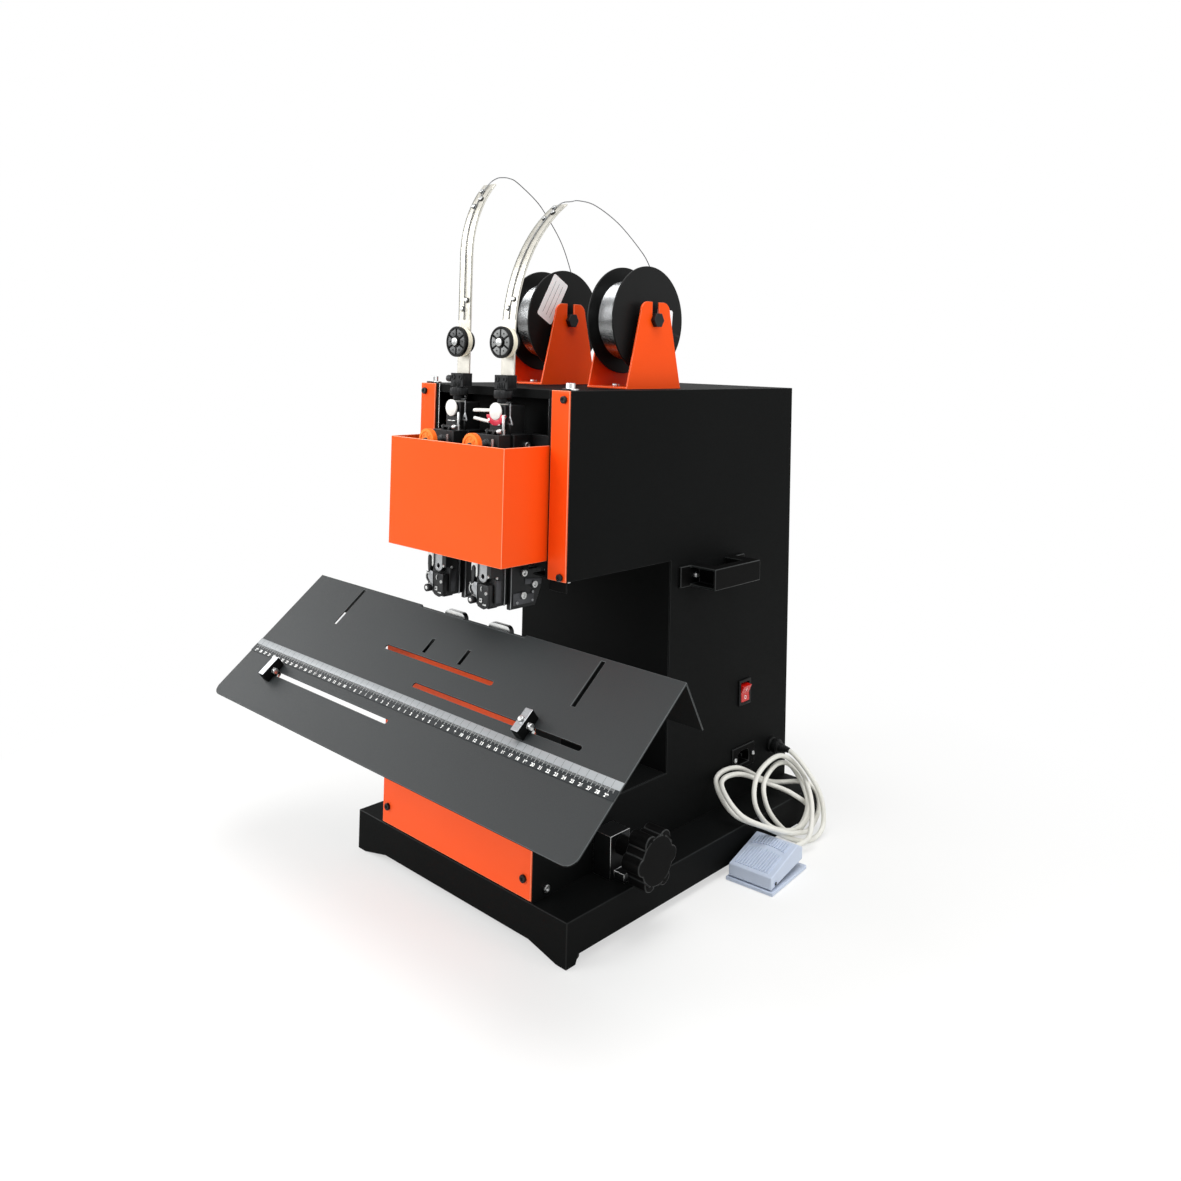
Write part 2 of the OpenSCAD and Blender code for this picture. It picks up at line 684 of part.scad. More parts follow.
module spool_axles() color(black) for (s = [-1, 1]) translate([s * spool_pitch / 2, spool_y, spool_z]) {
  translate([-bracket_w / 2 - 1, 0, 0]) bar_x(spool_axle_d, bracket_w + 2);
  for (x = [-bracket_w / 2 - axle_hex_t, bracket_w / 2]) translate([x, 0, 0])
    rotate([0, 90, 0]) rotate(30) cylinder(d = axle_hex / cos(30), h = axle_hex_t, $fn = 6);
}

module spool() translate([-spool_w / 2, 0, 0]) rotate([0, 90, 0]) rotate_extrude($fn = 96) {
  bore = (spool_axle_d + run) / 2;
  polygon([[bore, 0], [flange_d / 2, 0], [flange_d / 2, flange_t], [drum_d / 2, flange_t],
    [drum_d / 2, spool_w - flange_t], [flange_d / 2, spool_w - flange_t], [flange_d / 2, spool_w], [bore, spool_w]]);
}

module left_spool() color(black) translate([-spool_pitch / 2, spool_y, spool_z]) spool();
module right_spool() color(black) translate([spool_pitch / 2, spool_y, spool_z]) spool();

// the winding: a helix whose two ends turn square into the flanges
wind_r = drum_d / 2 + winding_d / 2 + slide;
wind_bend = 2.4;
wind_half = spool_in - wind_bend - winding_d;
wind_n = 24 * winding_turns;
function wind_at(a, x) = [x, wind_r * cos(a), wind_r * sin(a)];
function wind_end(s) = [for (q = [30, 60, 90])
  wind_at(s * 180 * wind_bend * sin(q) / (PI * wind_r), s * (wind_half + wind_bend * (1 - cos(q))))];
function turned(p, a) = [p[0], p[1] * cos(a) - p[2] * sin(a), p[1] * sin(a) + p[2] * cos(a)];
wind_last = 360 * winding_turns;
wind_path = concat(
  [wind_at(-180 * wind_bend / (PI * wind_r), -spool_in)],
  [for (i = [2, 1, 0]) wind_end(-1)[i]],
  [for (i = [0 : wind_n]) wind_at(wind_last * i / wind_n, -wind_half + 2 * wind_half * i / wind_n)],
  [for (i = [0, 1, 2]) turned(wind_end(1)[i], wind_last)],
  [turned(wind_at(180 * wind_bend / (PI * wind_r), spool_in), wind_last)]);
echo("least gap in the winding", least_gap(wind_path, winding_d, 12));

module left_winding() color(steel) translate([-spool_pitch / 2, spool_y, spool_z]) tube(wind_path, winding_d, 6, [0, 1, 0]);
module right_winding() color(steel) translate([spool_pitch / 2, spool_y, spool_z]) tube(wind_path, winding_d, 6, [0, 1, 0]);

// the wires run over their strips and down to the top of the windings
wire_off = strip_t / 2 + wire_d / 2 + 0.2;
wire_start = roller_z + roller_d / 2 + 8;
function wire_lift(z, r, a, n) = let (a0 = wire_start > z ? asin((wire_start - z) / r) : 0) concat(
  wire_start < z ? [[0, strip_y - wire_off, wire_start]] : [],
  [for (i = [0 : n]) let (q = a0 + (a - a0) * i / n)
    [0, strip_y + r - (r + wire_off) * cos(q), z + (r + wire_off) * sin(q)]]);
wire_touch = wind_r + winding_d / 2 + wire_d / 2 + slide;
left_tip = strip_tip(left_bend_z, left_bend_r, left_bend_a);
right_tip = strip_tip(right_bend_z, right_bend_r, right_bend_a);
left_wire = concat([for (p = wire_lift(left_bend_z, left_bend_r, left_bend_a, 5)) p + [-head_pitch / 2, 0, 0]],
  [[-39.9, left_tip[0] + 12.3, left_tip[1] + 9.7], [-42.3, left_tip[0] + 24.5, left_tip[1] + 12.8],
   [-44.8, left_tip[0] + 37.1, left_tip[1] + 13.8], [-48, left_tip[0] + 53.4, left_tip[1] + 11.3],
   [-55.7, spool_y - 51.5, spool_z + 149.6], [-60.6, spool_y - 26.7, spool_z + 133.3],
   [-66, spool_y + 6, spool_z + 103.5], [-69.3, spool_y + 27, spool_z + 72],
   [-spool_pitch / 2, spool_y + 38.5, spool_z + 43],
   [-spool_pitch / 2, spool_y + wire_touch * sin(67), spool_z + wire_touch * cos(67)]]);
right_wire = concat([for (p = wire_lift(right_bend_z, right_bend_r, right_bend_a, 6)) p + [head_pitch / 2, 0, 0]],
  [[41, right_tip[0] + 13.3, right_tip[1] + 5.5], [43.8, right_tip[0] + 23.8, right_tip[1] + 7.5],
   [49.7, right_tip[0] + 45.6, right_tip[1] + 4], [58.2, spool_y - 22.6, spool_z + 115.8],
   [66.2, spool_y + 7.3, spool_z + 88.3], [69.6, spool_y + 22, spool_z + 70.4],
   [spool_pitch / 2, spool_y + 34.5, spool_z + 47],
   [spool_pitch / 2, spool_y + wire_touch * sin(66), spool_z + wire_touch * cos(66)]]);
module feed_wires() color(steel) {
  tube(smooth(left_wire, 3), wire_d, 6, [1, 0, 0]);
  tube(smooth(right_wire, 3), wire_d, 6, [1, 0, 0]);
}

module gear_motor() color(grey) difference() {
  union() {
    translate([40, shaft_y - 30, shaft_z - 45]) cube([50, 90, 90]);
    translate([45, shaft_y - 30, arm_z + body_sheet]) cube([40, 90, shaft_z - arm_z - 40]);
    translate([65, shaft_y + 59, shaft_z]) bar_y(motor_d, motor_l + 1);
  }
  translate([39, shaft_y, shaft_z]) bar_x(shaft_d + run, 52);
}

module shaft_bearings() color(steel) both() difference() {
  translate([in_w - 10, shaft_y - 20, shaft_z - 20]) cube([10, 40, 40]);
  translate([in_w - 11, shaft_y, shaft_z]) bar_x(shaft_d + run, 12);
}

module guide_rods() color(steel) both()
  translate([rod_x, cross_y + cross_t / 2, arm_z + body_sheet])
    cylinder(d = rod_d, h = body_top - arm_z - 2 * body_sheet);

module clamp_block() color(steel) {
  difference() {
    translate([half_w, clamp_y - clamp_d / 2, base_h]) cube([clamp_l, clamp_d, clamp_h]);
    translate([half_w - 1, clamp_y, clamp_z0]) bar_x(clamp_screw_d + run, clamp_l + 2);
  }
  translate([half_w + clamp_l, clamp_y - 9, base_h]) cube([14, 18, 9]);
}

module handle() {
  x1 = half_w + grip_out;
  difference() {
    union() {
      translate([half_w, grip_y, grip_z - grip_h / 2]) cube([grip_out, grip_l, grip_h]);
      translate([half_w, grip_y - leg_l + 1, grip_z - grip_h / 2]) cube([4, grip_l + 2 * leg_l - 2, grip_h]);
    }
    translate([half_w - 1, grip_y + leg_l, grip_z - grip_h]) cube([grip_out - grip_t + 1, grip_l - 2 * leg_l, 2 * grip_h]);
    for (y = [grip_y - 1, grip_y + grip_l - leg_l + 3]) translate([half_w + 4, y, grip_z - grip_h / 2 + 2.5])
      cube([grip_out - 7, leg_l - 2, grip_h - 5]);
  }
}
module handles() color(black) both() handle();

module switch_bezel() color(black) difference() {
  union() {
    translate([half_w, switch_y - bezel_w / 2, switch_z - bezel_h / 2]) cube([2.5, bezel_w, bezel_h]);
    translate([half_w - 18, switch_y - bezel_w / 2 + 2.5, switch_z - bezel_h / 2 + 2])
      cube([19, bezel_w - 5, bezel_h - 4]);
  }
  translate([half_w - 12, switch_y - bezel_w / 2 + 4, switch_z - bezel_h / 2 + 3.5]) cube([16, bezel_w - 8, bezel_h - 7]);
  translate([half_w - 3, switch_y - bezel_w / 2, switch_z]) bar_y(rocker_pin_d + run, bezel_w);
}

// the rocker is drawn in its off position, with its upper end out
module switch_rocker() color(red) {
  translate([half_w - 3, switch_y - bezel_w / 2 + 4 + slide, switch_z]) rotate([0, 10, 0]) xz(bezel_w - 8 - 2 * slide)
    polygon([[-5, -bezel_h / 2 + 5.5], [8, -bezel_h / 2 + 5.5], [5.5, 0], [8, bezel_h / 2 - 5.5], [-5, bezel_h / 2 - 5.5]]);
  translate([half_w - 3, switch_y - bezel_w / 2 + 2.7, switch_z]) bar_y(rocker_pin_d, bezel_w - 5.4);
}

module mains_inlet() color(black) {
  difference() {
    union() {
      translate([half_w, inlet_y - inlet_w / 2, inlet_z - inlet_h / 2]) cube([2.5, inlet_w, inlet_h]);
      translate([half_w - 22, inlet_y - 14, inlet_z - 10.5]) cube([23, 28, 21]);
    }
    translate([half_w - 16, inlet_y, inlet_z]) yz(20)
      polygon([[-12, -8.2], [12, -8.2], [12, 4], [8, 8.2], [-8, 8.2], [-12, 4]]);
  }
  for (p = [[-7, -2], [7, -2], [0, 3]]) translate([half_w - 17, inlet_y + p[0] - 1, inlet_z + p[1] - 2]) cube([12, 2, 4]);
}

module pedal_socket() color(black) {
  translate([half_w - 12, socket_y, socket_z]) bar_x(socket_d - 3, 13);
  translate([half_w, socket_y, socket_z]) bar_x(socket_d + 3, 4);
  translate([half_w + 3, socket_y, socket_z]) bar_x(socket_d, 11);
  translate([half_w + 13, socket_y, socket_z]) bar_x(socket_d - 5, 6);
}

cord_path = smooth(cord_route, 2);
echo("least gap in the cord", least_gap(cord_path, cord_d, 4));
module pedal_cord() color(white) tube(cord_path, cord_d, 8, [0, 0, 1]);

// the pedal's own frame: origin at the middle of its front edge on the floor
pin_y = 12;
pin_z = 10;
pin_d = 4;
module on_pedal() translate([pedal_mid, pedal_y, 0]) rotate(pedal_yaw) children();
module pedal_base() color(blue) on_pedal() {
  translate([-pedal_w / 2, 0, 0]) cube([pedal_w, pedal_l, 4]);
  for (s = [-1, 1]) translate([s * (treadle_w / 2 - treadle_t - 3) - 2, pin_y - 5, 3]) cube([4, 10, pin_z + 2]);
  translate([-treadle_w / 2 - 1, pin_y, pin_z]) bar_x(pin_d, treadle_w + 2);
  translate([-12, 42, 3]) cube([24, 26, 13]);
  translate([-8, pedal_l - 5, 3]) cube([16, 5, 12]);
}
module pedal_treadle() color(blue) on_pedal() difference() {
  translate([-treadle_w / 2, 2, 0]) yz(treadle_w) polygon([[0, 5], [0, treadle_low], [treadle_l - 12, treadle_high],
    [treadle_l, treadle_high - 6], [treadle_l, 13]]);
  translate([-treadle_w / 2 + treadle_t, 2, 0]) yz(treadle_w - 2 * treadle_t)
    polygon([[treadle_t, 0], [treadle_t, treadle_low - treadle_t], [treadle_l - 12, treadle_high - treadle_t],
      [treadle_l - treadle_t, treadle_high - 7 - treadle_t], [treadle_l - treadle_t, 0]]);
  translate([-treadle_w, pin_y, pin_z]) bar_x(pin_d + run, 2 * treadle_w);
}

// a screw seen from above its head, with its shank below
module screw(l) difference() {
  union() {
    cylinder(d = screw_d, h = screw_h);
    translate([0, 0, -l]) cylinder(d = shank_d, h = l + 1);
  }
  translate([0, 0, screw_h - 1.5]) cylinder(d = screw_d / 2, h = 2, $fn = 6);
}
module bolt() {
  cylinder(d = 18, h = 2);
  translate([0, 0, 1]) cylinder(d = 10, h = 7);
}
module case_screws() color(steel) {
  for (p = panel_screws) translate([p[0], base_front - panel_t, p[1]]) rotate([90, 0, 0]) screw(panel_t);
  both() for (z = strap_screw_z) translate([strap_x, arm_front - strap_t, z]) rotate([90, 0, 0]) screw(strap_t);
  both() translate([half_w - 10, arm_front + 9.5, body_top]) bolt();
  both() translate([half_w - 10, arm_front + 11, arm_z]) rotate([180, 0, 0]) screw(0);
  for (s = [-1, 1]) for (y = bracket_screws) translate([s * spool_pitch / 2, spool_y + y, body_top + bracket_t])
    screw(bracket_t);
  heads() for (p = side_plate_screws) translate([head_w / 2 + side_plate_t, p[0], p[1]]) rotate([0, 90, 0]) screw(0);
  for (y = [-19.5, 19.5]) translate([half_w + 2.5, inlet_y + y, inlet_z]) rotate([0, 90, 0]) scale(0.7) screw(0);
  both() translate([half_w, base_front + 20, base_h + 9]) rotate([0, 90, 0]) screw(0);
}

// the table is a bent sheet, drawn oversize and trimmed to its rounded outline
sheet_l = slope_l + 10;
module table_profile() polygon([
  [ridge_y, ridge_z],
  [ridge_y - sheet_l * slope_c, ridge_z - sheet_l * slope_s],
  [ridge_y - sheet_l * slope_c + table_t * slope_s, ridge_z - sheet_l * slope_s - table_t * slope_c],
  [under_y, under_z],
  [ridge_y + flap_l * cos(flap_a) - table_t * sin(flap_a), ridge_z - flap_l * sin(flap_a) - table_t * cos(flap_a)],
  [ridge_y + flap_l * cos(flap_a), ridge_z - flap_l * sin(flap_a)]]);

module table_outline() {
  translate([-table_w / 2, corner_r - slope_l]) square([table_w, slope_l - corner_r + 40]);
  translate([corner_r - table_w / 2, -slope_l]) square([table_w - 2 * corner_r, corner_r + 1]);
  for (s = [-1, 1]) translate([s * (table_w / 2 - corner_r), corner_r - slope_l]) circle(corner_r);
}

module table() color(grey) difference() {
  intersection() {
    translate([-table_w / 2 - 10, 0, 0]) yz(table_w + 20) table_profile();
    on_slope() translate([0, 0, -flap_l - 10]) linear_extrude(flap_l + 20) table_outline();
  }
  on_slope() translate([0, 0, -2 * table_t]) linear_extrude(3 * table_t) {
    round_slot(-91, 91, upper_slot_s, slot_w);
    round_slot(-9, 238, right_slot_s, slot_w);
    round_slot(-238, -3, left_slot_s, slot_w);
    for (s = [-1, 1]) translate([s * 30 - slot_w / 2, -56]) square([slot_w, 19]);
    for (s = [-1, 1]) translate([s * 200 - slot_w / 2, -58]) square([slot_w, 54]);
  }
  translate([-88, ridge_y - 20, ridge_z - 2.5]) cube([176, 40, 4]);
  heads() translate([driver_x - clinch_l / 2 - 2, ridge_y + 0.4, ridge_z - 22]) cube([clinch_l + 4, 9, 30]);
}

module ruler_strip() color(steel) on_slope() translate([-table_w / 2, -ruler_s - ruler_w, 0]) cube([table_w, ruler_w, ruler_t]);

rib_s = 78;
module rib(s) yz(4) polygon([[under_y, under_z], [under_y - s * slope_c, under_z - s * slope_s],
  [under_y - s * slope_c, under_z - s * slope_s - 4], [post_front, under_z - 35], [post_back, under_z - 35],
  [post_back, under_z - (post_back - under_y) * flap_t]]);
module table_post() color(grey) difference() {
  union() {
    translate([-post_x, post_front, tail_z]) cube([2 * post_x, post_back - post_front, under_z - 8 - tail_z]);
    translate([-beam_x, post_front, under_z - 35]) cube([2 * beam_x, post_back - post_front, 27]);
    for (x = [-beam_x + 2, beam_x - 6]) translate([x, 0, 0]) rib(rib_s);
    for (x = [-post_x + 12, post_x - 16]) translate([x, 0, 0]) rib(38);
    translate([post_x - 1, post_front, tail_z]) cube([in_w - 4 - post_x, post_back - post_front, tail_h]);
    translate([in_w - 11, post_front, tail_z]) cube([6, clamp_y + 20 - post_front, tail_h]);
  }
  translate([in_w - 12, clamp_y, clamp_z0]) bar_x(clamp_screw_d + 2 * slide, 8);
  translate([in_w - 12, clamp_y, clamp_z0 + table_drop]) bar_x(clamp_screw_d + 2 * slide, 8);
  translate([in_w - 12, clamp_y - clamp_screw_d / 2 - slide, clamp_z0])
    cube([8, clamp_screw_d + 2 * slide, table_drop]);
}

// each clincher stands behind the ridge on a foot that rests on the beam
module clinchers() color(steel) heads() translate([driver_x, ridge_y + 1.4, under_z - 8]) {
  r = 7;
  h = ridge_z + clinch_h - under_z + 8;
  xz(6) {
    translate([-clinch_l / 2, 0]) square([clinch_l, h - r]);
    translate([-clinch_l / 2 + r, 0]) square([clinch_l - 2 * r, h]);
    for (s = [-1, 1]) translate([s * (clinch_l / 2 - r), h - r]) circle(r);
  }
  translate([-clinch_l / 2, -6.4, 0]) cube([clinch_l, 7.4, 3]);
}

module stop() {
  translate([-stop_w / 2, -stop_l / 2, 0.2]) cube([stop_w, stop_l, stop_h]);
  translate([0, 0, -table_t - 3]) cylinder(d = stem_d, h = table_t + 4);
  translate([0, 0, -table_t - 4.2]) cylinder(d = 11, h = 4);
  translate([stop_w / 2 - 1, 0, 5]) bar_x(7, 5);
}
module left_stop() color(black) on_slope() translate([left_stop_x, -left_slot_s, 0]) stop();
module right_stop() color(black) on_slope() translate([right_stop_x, -right_slot_s, 0]) {
  stop();
  translate([0, 0, stop_h - 1]) cylinder(d = 6, h = 4);
}

module clamp_knob() color(black) translate([half_w, clamp_y, clamp_z0]) {
  translate([-body_sheet - 18, 0, 0]) bar_x(clamp_screw_d, hand_knob_out + body_sheet + 20);
  translate([-body_sheet - 18, 0, 0]) bar_x(22, 6);
  translate([clamp_l + slide, 0, 0]) bar_x(20, hand_knob_out - clamp_l);
  translate([hand_knob_out, 0, 0]) {
    bar_x(hand_knob_d - 12, hand_knob_t);
    for (i = [0 : 5]) rotate([60 * i, 0, 0]) translate([0, hand_knob_d / 2 - 9, 0]) bar_x(18, hand_knob_t);
  }
}

module feed_wheel() difference() {
  translate([0, head_front - 17 - feed_t, feed_z]) bar_y(feed_d, feed_t);
  translate([0, head_front - 40, feed_z]) bar_y(feed_pin_d + run, 40);
}
module left_feed_wheel() color(orange) translate([-head_pitch / 2, 0, 0]) feed_wheel();
module right_feed_wheel() color(orange) translate([head_pitch / 2, 0, 0]) feed_wheel();

module head_knob() translate([0, post_y, knob_z]) difference() {
  union() {
    cylinder(d = knob_d - 7, h = knob_h);
    translate([0, 0, 7]) cylinder(d = knob_d, h = knob_h - 7);
  }
  translate([0, 0, -1]) cylinder(d = post_d + run, h = knob_h + 2);
}
module left_head_knob() color(steel) translate([-head_pitch / 2, 0, 0]) head_knob();
module right_head_knob() color(steel) translate([head_pitch / 2, 0, 0]) head_knob();

module crosshead() color(steel) difference() {
  union() {
    translate([-rod_x - 12, cross_y, cross_z]) cube([2 * rod_x + 24, cross_t, 22]);
    for (s = [-1, 1]) translate([s * (cam_t / 2 + 4) - 2, cross_y + cross_t - 1, follower_z - 8])
      cube([4, shaft_y - cross_y - cross_t + follower_d / 2 + 3, 16]);
    translate([-cam_t / 2 - 3, shaft_y, follower_z]) bar_x(follower_d, cam_t + 6);
  }
  for (s = [-1, 1]) translate([s * rod_x, cross_y + cross_t / 2, cross_z - 1]) cylinder(d = rod_d + run, h = 24);
}

module stitch_drivers() color(steel) heads() {
  difference() {
    union() {
      translate([driver_x - driver_w / 2, driver_y, driver_z + driver_w / 2])
        cube([driver_w, driver_t, driver_l - driver_w / 2]);
      translate([driver_x, driver_y, driver_z + driver_w / 2]) bar_y(driver_w, driver_t);
    }
    translate([driver_x, driver_y - 1, driver_z + driver_w / 2]) bar_y(5, driver_t + 2);
  }
  translate([-4, driver_y + driver_t - 0.5, cross_arm_z]) cube([8, cross_y - driver_y - driver_t + 0.5, arm_h]);
  translate([-3, blade_y, head_z + 27]) cube([6, 5, cross_arm_z - head_z - 26]);
}

module main_shaft() color(steel) translate([-in_w + 2, shaft_y, shaft_z]) bar_x(shaft_d, 2 * in_w - 4);

// a heart cam: its pitch radius grows evenly from the bottom to the top
cam_off = follower_d / 2 + 1.4;
module drive_cam() color(steel) difference() {
  translate([-cam_t / 2, shaft_y, shaft_z]) yz(cam_t)
    polygon([for (i = [0 : 95]) let (a = 360 * i / 96, r = cam_low + stroke * (1 - abs(a - 180) / 180) - cam_off)
      [-r * sin(a), -r * cos(a)]]);
  translate([-cam_t, shaft_y, shaft_z]) bar_x(shaft_d, 2 * cam_t);
}

base_plinth();
rubber_feet();
left_side_panel();
right_side_panel();
top_cover();
rear_cover();
arm_floor();
throat_plate();
pedestal_sheet();
front_panel();
inner_plate();
front_straps();
guard_tray();
head_rails();
left_head();
right_head();
head_side_plates();
head_caps();
wire_clamps();
left_wire_guide();
right_wire_guide();
roller_axles();
left_spool_bracket();
right_spool_bracket();
spool_axles();
feed_wires();
gear_motor();
shaft_bearings();
guide_rods();
clamp_block();
handles();
switch_bezel();
mains_inlet();
pedal_socket();
pedal_cord();
pedal_base();
case_screws();
table();
ruler_strip();
table_post();
clinchers();
left_stop();
right_stop();
clamp_knob();
left_spool();
left_winding();
right_spool();
right_winding();
left_roller();
right_roller();
left_feed_wheel();
right_feed_wheel();
left_head_knob();
right_head_knob();
crosshead();
stitch_drivers();
main_shaft();
drive_cam();
switch_rocker();
pedal_treadle();
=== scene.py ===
# %% [markdown]
# A two-head wire stitcher for booklets, dressed for a studio photograph.
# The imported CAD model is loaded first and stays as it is: every piece made here sits in the same
# frame, in metres, and rides on one of its bodies.
# Sizes are written in millimetres, as on a drawing, and MM turns them into metres.

# %% load the frame
import json
import math

import bmesh
import bpy
from mathutils import Matrix, Vector

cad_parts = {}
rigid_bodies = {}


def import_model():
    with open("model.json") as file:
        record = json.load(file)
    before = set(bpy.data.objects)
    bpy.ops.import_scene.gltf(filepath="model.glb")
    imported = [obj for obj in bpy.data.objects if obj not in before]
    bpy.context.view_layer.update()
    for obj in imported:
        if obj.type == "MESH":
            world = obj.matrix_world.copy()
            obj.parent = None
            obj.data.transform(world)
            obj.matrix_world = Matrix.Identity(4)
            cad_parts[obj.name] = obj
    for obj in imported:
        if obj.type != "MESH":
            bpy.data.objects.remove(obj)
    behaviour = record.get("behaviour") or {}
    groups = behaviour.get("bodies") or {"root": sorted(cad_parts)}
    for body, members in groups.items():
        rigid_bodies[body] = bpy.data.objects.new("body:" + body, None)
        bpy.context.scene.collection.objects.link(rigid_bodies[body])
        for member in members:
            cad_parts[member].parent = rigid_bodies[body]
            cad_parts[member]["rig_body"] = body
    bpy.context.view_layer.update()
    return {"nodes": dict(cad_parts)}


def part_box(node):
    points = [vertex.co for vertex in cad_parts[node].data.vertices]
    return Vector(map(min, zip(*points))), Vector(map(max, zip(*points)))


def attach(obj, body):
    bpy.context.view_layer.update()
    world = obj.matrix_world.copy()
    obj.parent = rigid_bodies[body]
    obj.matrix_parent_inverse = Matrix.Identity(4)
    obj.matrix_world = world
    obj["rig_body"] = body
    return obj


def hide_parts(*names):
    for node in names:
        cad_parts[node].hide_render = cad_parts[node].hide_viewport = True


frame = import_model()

MM = 0.001

# %% [markdown]
# Colours are written as the eye reads them on a screen, in sRGB hex.
# Blender's shaders count in linear light, so one function turns the one into the other.
# Shader nodes could be added and linked line by line, but one small function that adds a node, sets it
# and links it keeps each material short.

# %% colour and node helpers
def linear(code):
    parts = [int(code[i:i + 2], 16) / 255 for i in (1, 3, 5)]
    return [c / 12.92 if c <= 0.04045 else ((c + 0.055) / 1.055) ** 2.4 for c in parts] + [1.0]


def node(tree, kind, inputs=None, **settings):
    made = tree.nodes.new(kind)
    for name, value in settings.items():
        setattr(made, name, value)
    for name, value in (inputs or {}).items():
        if isinstance(value, bpy.types.NodeSocket):
            tree.links.new(value, made.inputs[name])
        else:
            made.inputs[name].default_value = value
    return made


WHITE = linear("#FFFFFF")
print("white is", WHITE)

# %% [markdown]
# The camera stands where the photographer stood: to the front and right of the machine, 60 cm up.
# Its place was worked out from the ruler and the straight edges of the housing.
# Aiming it by hand would only come near that, so its three axes are built from angles.
# The photograph is cropped off centre, so the lens is shifted downwards instead of tilted.

# %% camera
AZIMUTH, ELEVATION, ROLL = 0.755, -0.020, 0.024
CAMERA_PLACE = (0.8725, -0.915, 0.604)
LENS_MM, SENSOR_MM = 31.33, 36
SHIFT_X, SHIFT_Y = 0.0084, -0.2175
back_x = math.sin(AZIMUTH) * math.cos(ELEVATION)
back_y = -math.cos(AZIMUTH) * math.cos(ELEVATION)
back = Vector((back_x, back_y, math.sin(ELEVATION)))
level = Vector((math.cos(AZIMUTH), math.sin(AZIMUTH), 0))
above = back.cross(level)
right = math.cos(ROLL) * level + math.sin(ROLL) * above
up = math.cos(ROLL) * above - math.sin(ROLL) * level
camera_data = bpy.data.cameras.new("studio_camera")
camera_data.lens = LENS_MM
camera_data.sensor_width = SENSOR_MM
camera_data.shift_x = SHIFT_X
camera_data.shift_y = SHIFT_Y
camera = bpy.data.objects.new("studio_camera", camera_data)
camera_axes = Matrix((right, up, back)).transposed().to_4x4()
camera.matrix_world = Matrix.Translation(CAMERA_PLACE) @ camera_axes
bpy.context.scene.collection.objects.link(camera)
bpy.context.scene.camera = camera
print("camera at", [round(v, 3) for v in camera.matrix_world.translation])

# %% [markdown]
# Cord and wire lie in smooth bends. A few points give their route, and a smooth line runs through them all.
# A tube could be built ring by ring, but a curve with a round section gives it in one step.
# The curve is then made a mesh, like every other piece.

# %% smooth lines and round tubes
def smooth_path(points, steps):
    points = [Vector(p) for p in points]
    last = len(points) - 1
    path = []
    for i in range(last):
        a, b, c, d = (points[max(0, min(last, k))] for k in (i - 1, i, i + 1, i + 2))
        for j in range(steps):
            t = j / steps
            path.append(0.5 * (2 * b + (c - a) * t + (2 * a - 5 * b + 4 * c - d) * t ** 2
                               + (3 * b - a - 3 * c + d) * t ** 3))
    return path + [points[-1]]


def round_tube(name, points, diameter, roundness):
    data = bpy.data.curves.new(name + "_line", "CURVE")
    data.dimensions = "3D"
    data.bevel_depth = diameter / 2 * MM
    data.bevel_resolution = roundness
    data.use_fill_caps = True
    spline = data.splines.new("POLY")
    spline.points.add(len(points) - 1)
    for knot, p in zip(spline.points, points):
        knot.co = (*(p * MM), 1)
    line = bpy.data.objects.new(name + "_line", data)
    bpy.context.scene.collection.objects.link(line)
    mesh = bpy.data.meshes.new_from_object(line.evaluated_get(bpy.context.evaluated_depsgraph_get()))
    mesh.name = name
    mesh.shade_smooth()
    bpy.data.objects.remove(line)
    made = bpy.data.objects.new(name, mesh)
    bpy.context.scene.collection.objects.link(made)
    return made


print("line helpers ready")

# %% [markdown]
# The pedal's cord is a thin grey lead, thrown over itself in a loose heap beside the machine.
# It could be laid by a simulation, but then its loops would not lie where the CAD solid has them.
# So it is drawn through the points of that solid and keeps its real length.

# %% pedal cord
CORD_D = 6.0
CORD_POINTS = [
    (144, 265, 94), (158, 265, 92), (180, 264, 77), (197, 271, 48), (204, 268, 16), (205, 246, 4.5),
    (199, 214, 9), (196, 150, 43.5), (166, 120, 61), (133, 132, 87), (131, 180, 88), (138, 244, 55),
    (173, 281, 53), (189, 283, 30), (192, 258, 9), (197, 222, 15.5), (206, 160, 40.5), (184.5, 112, 66),
    (146, 125, 88), (140, 172, 85), (150, 224, 61), (176, 239.5, 51.5), (184.5, 266.5, 26), (181, 234, 5),
    (179, 184, 44), (168, 184, 76), (147, 246, 79), (153.5, 274, 69.5), (189, 253.5, 43), (188, 232, 15),
    (186, 174, 34), (178, 150, 67), (164, 178, 91), (150, 250, 90), (169, 270, 70), (196.5, 250, 46.5),
    (212, 222, 20), (209, 208, 11), (203, 190, 9), (204, 174.67, 9),
]
cord_path = smooth_path(CORD_POINTS, 8)
cord = round_tube("pedal_lead", cord_path, CORD_D, 4)
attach(cord, "machine")
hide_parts("pedal_cord")

# %% [markdown]
# A product photograph is taken in a white room. An image of a studio could light the scene, but a plain
# white world is enough: it lights everything softly from all sides.
# Only the camera, reflections and see-through surfaces meet it at full white, so it doesn't wash out colours.

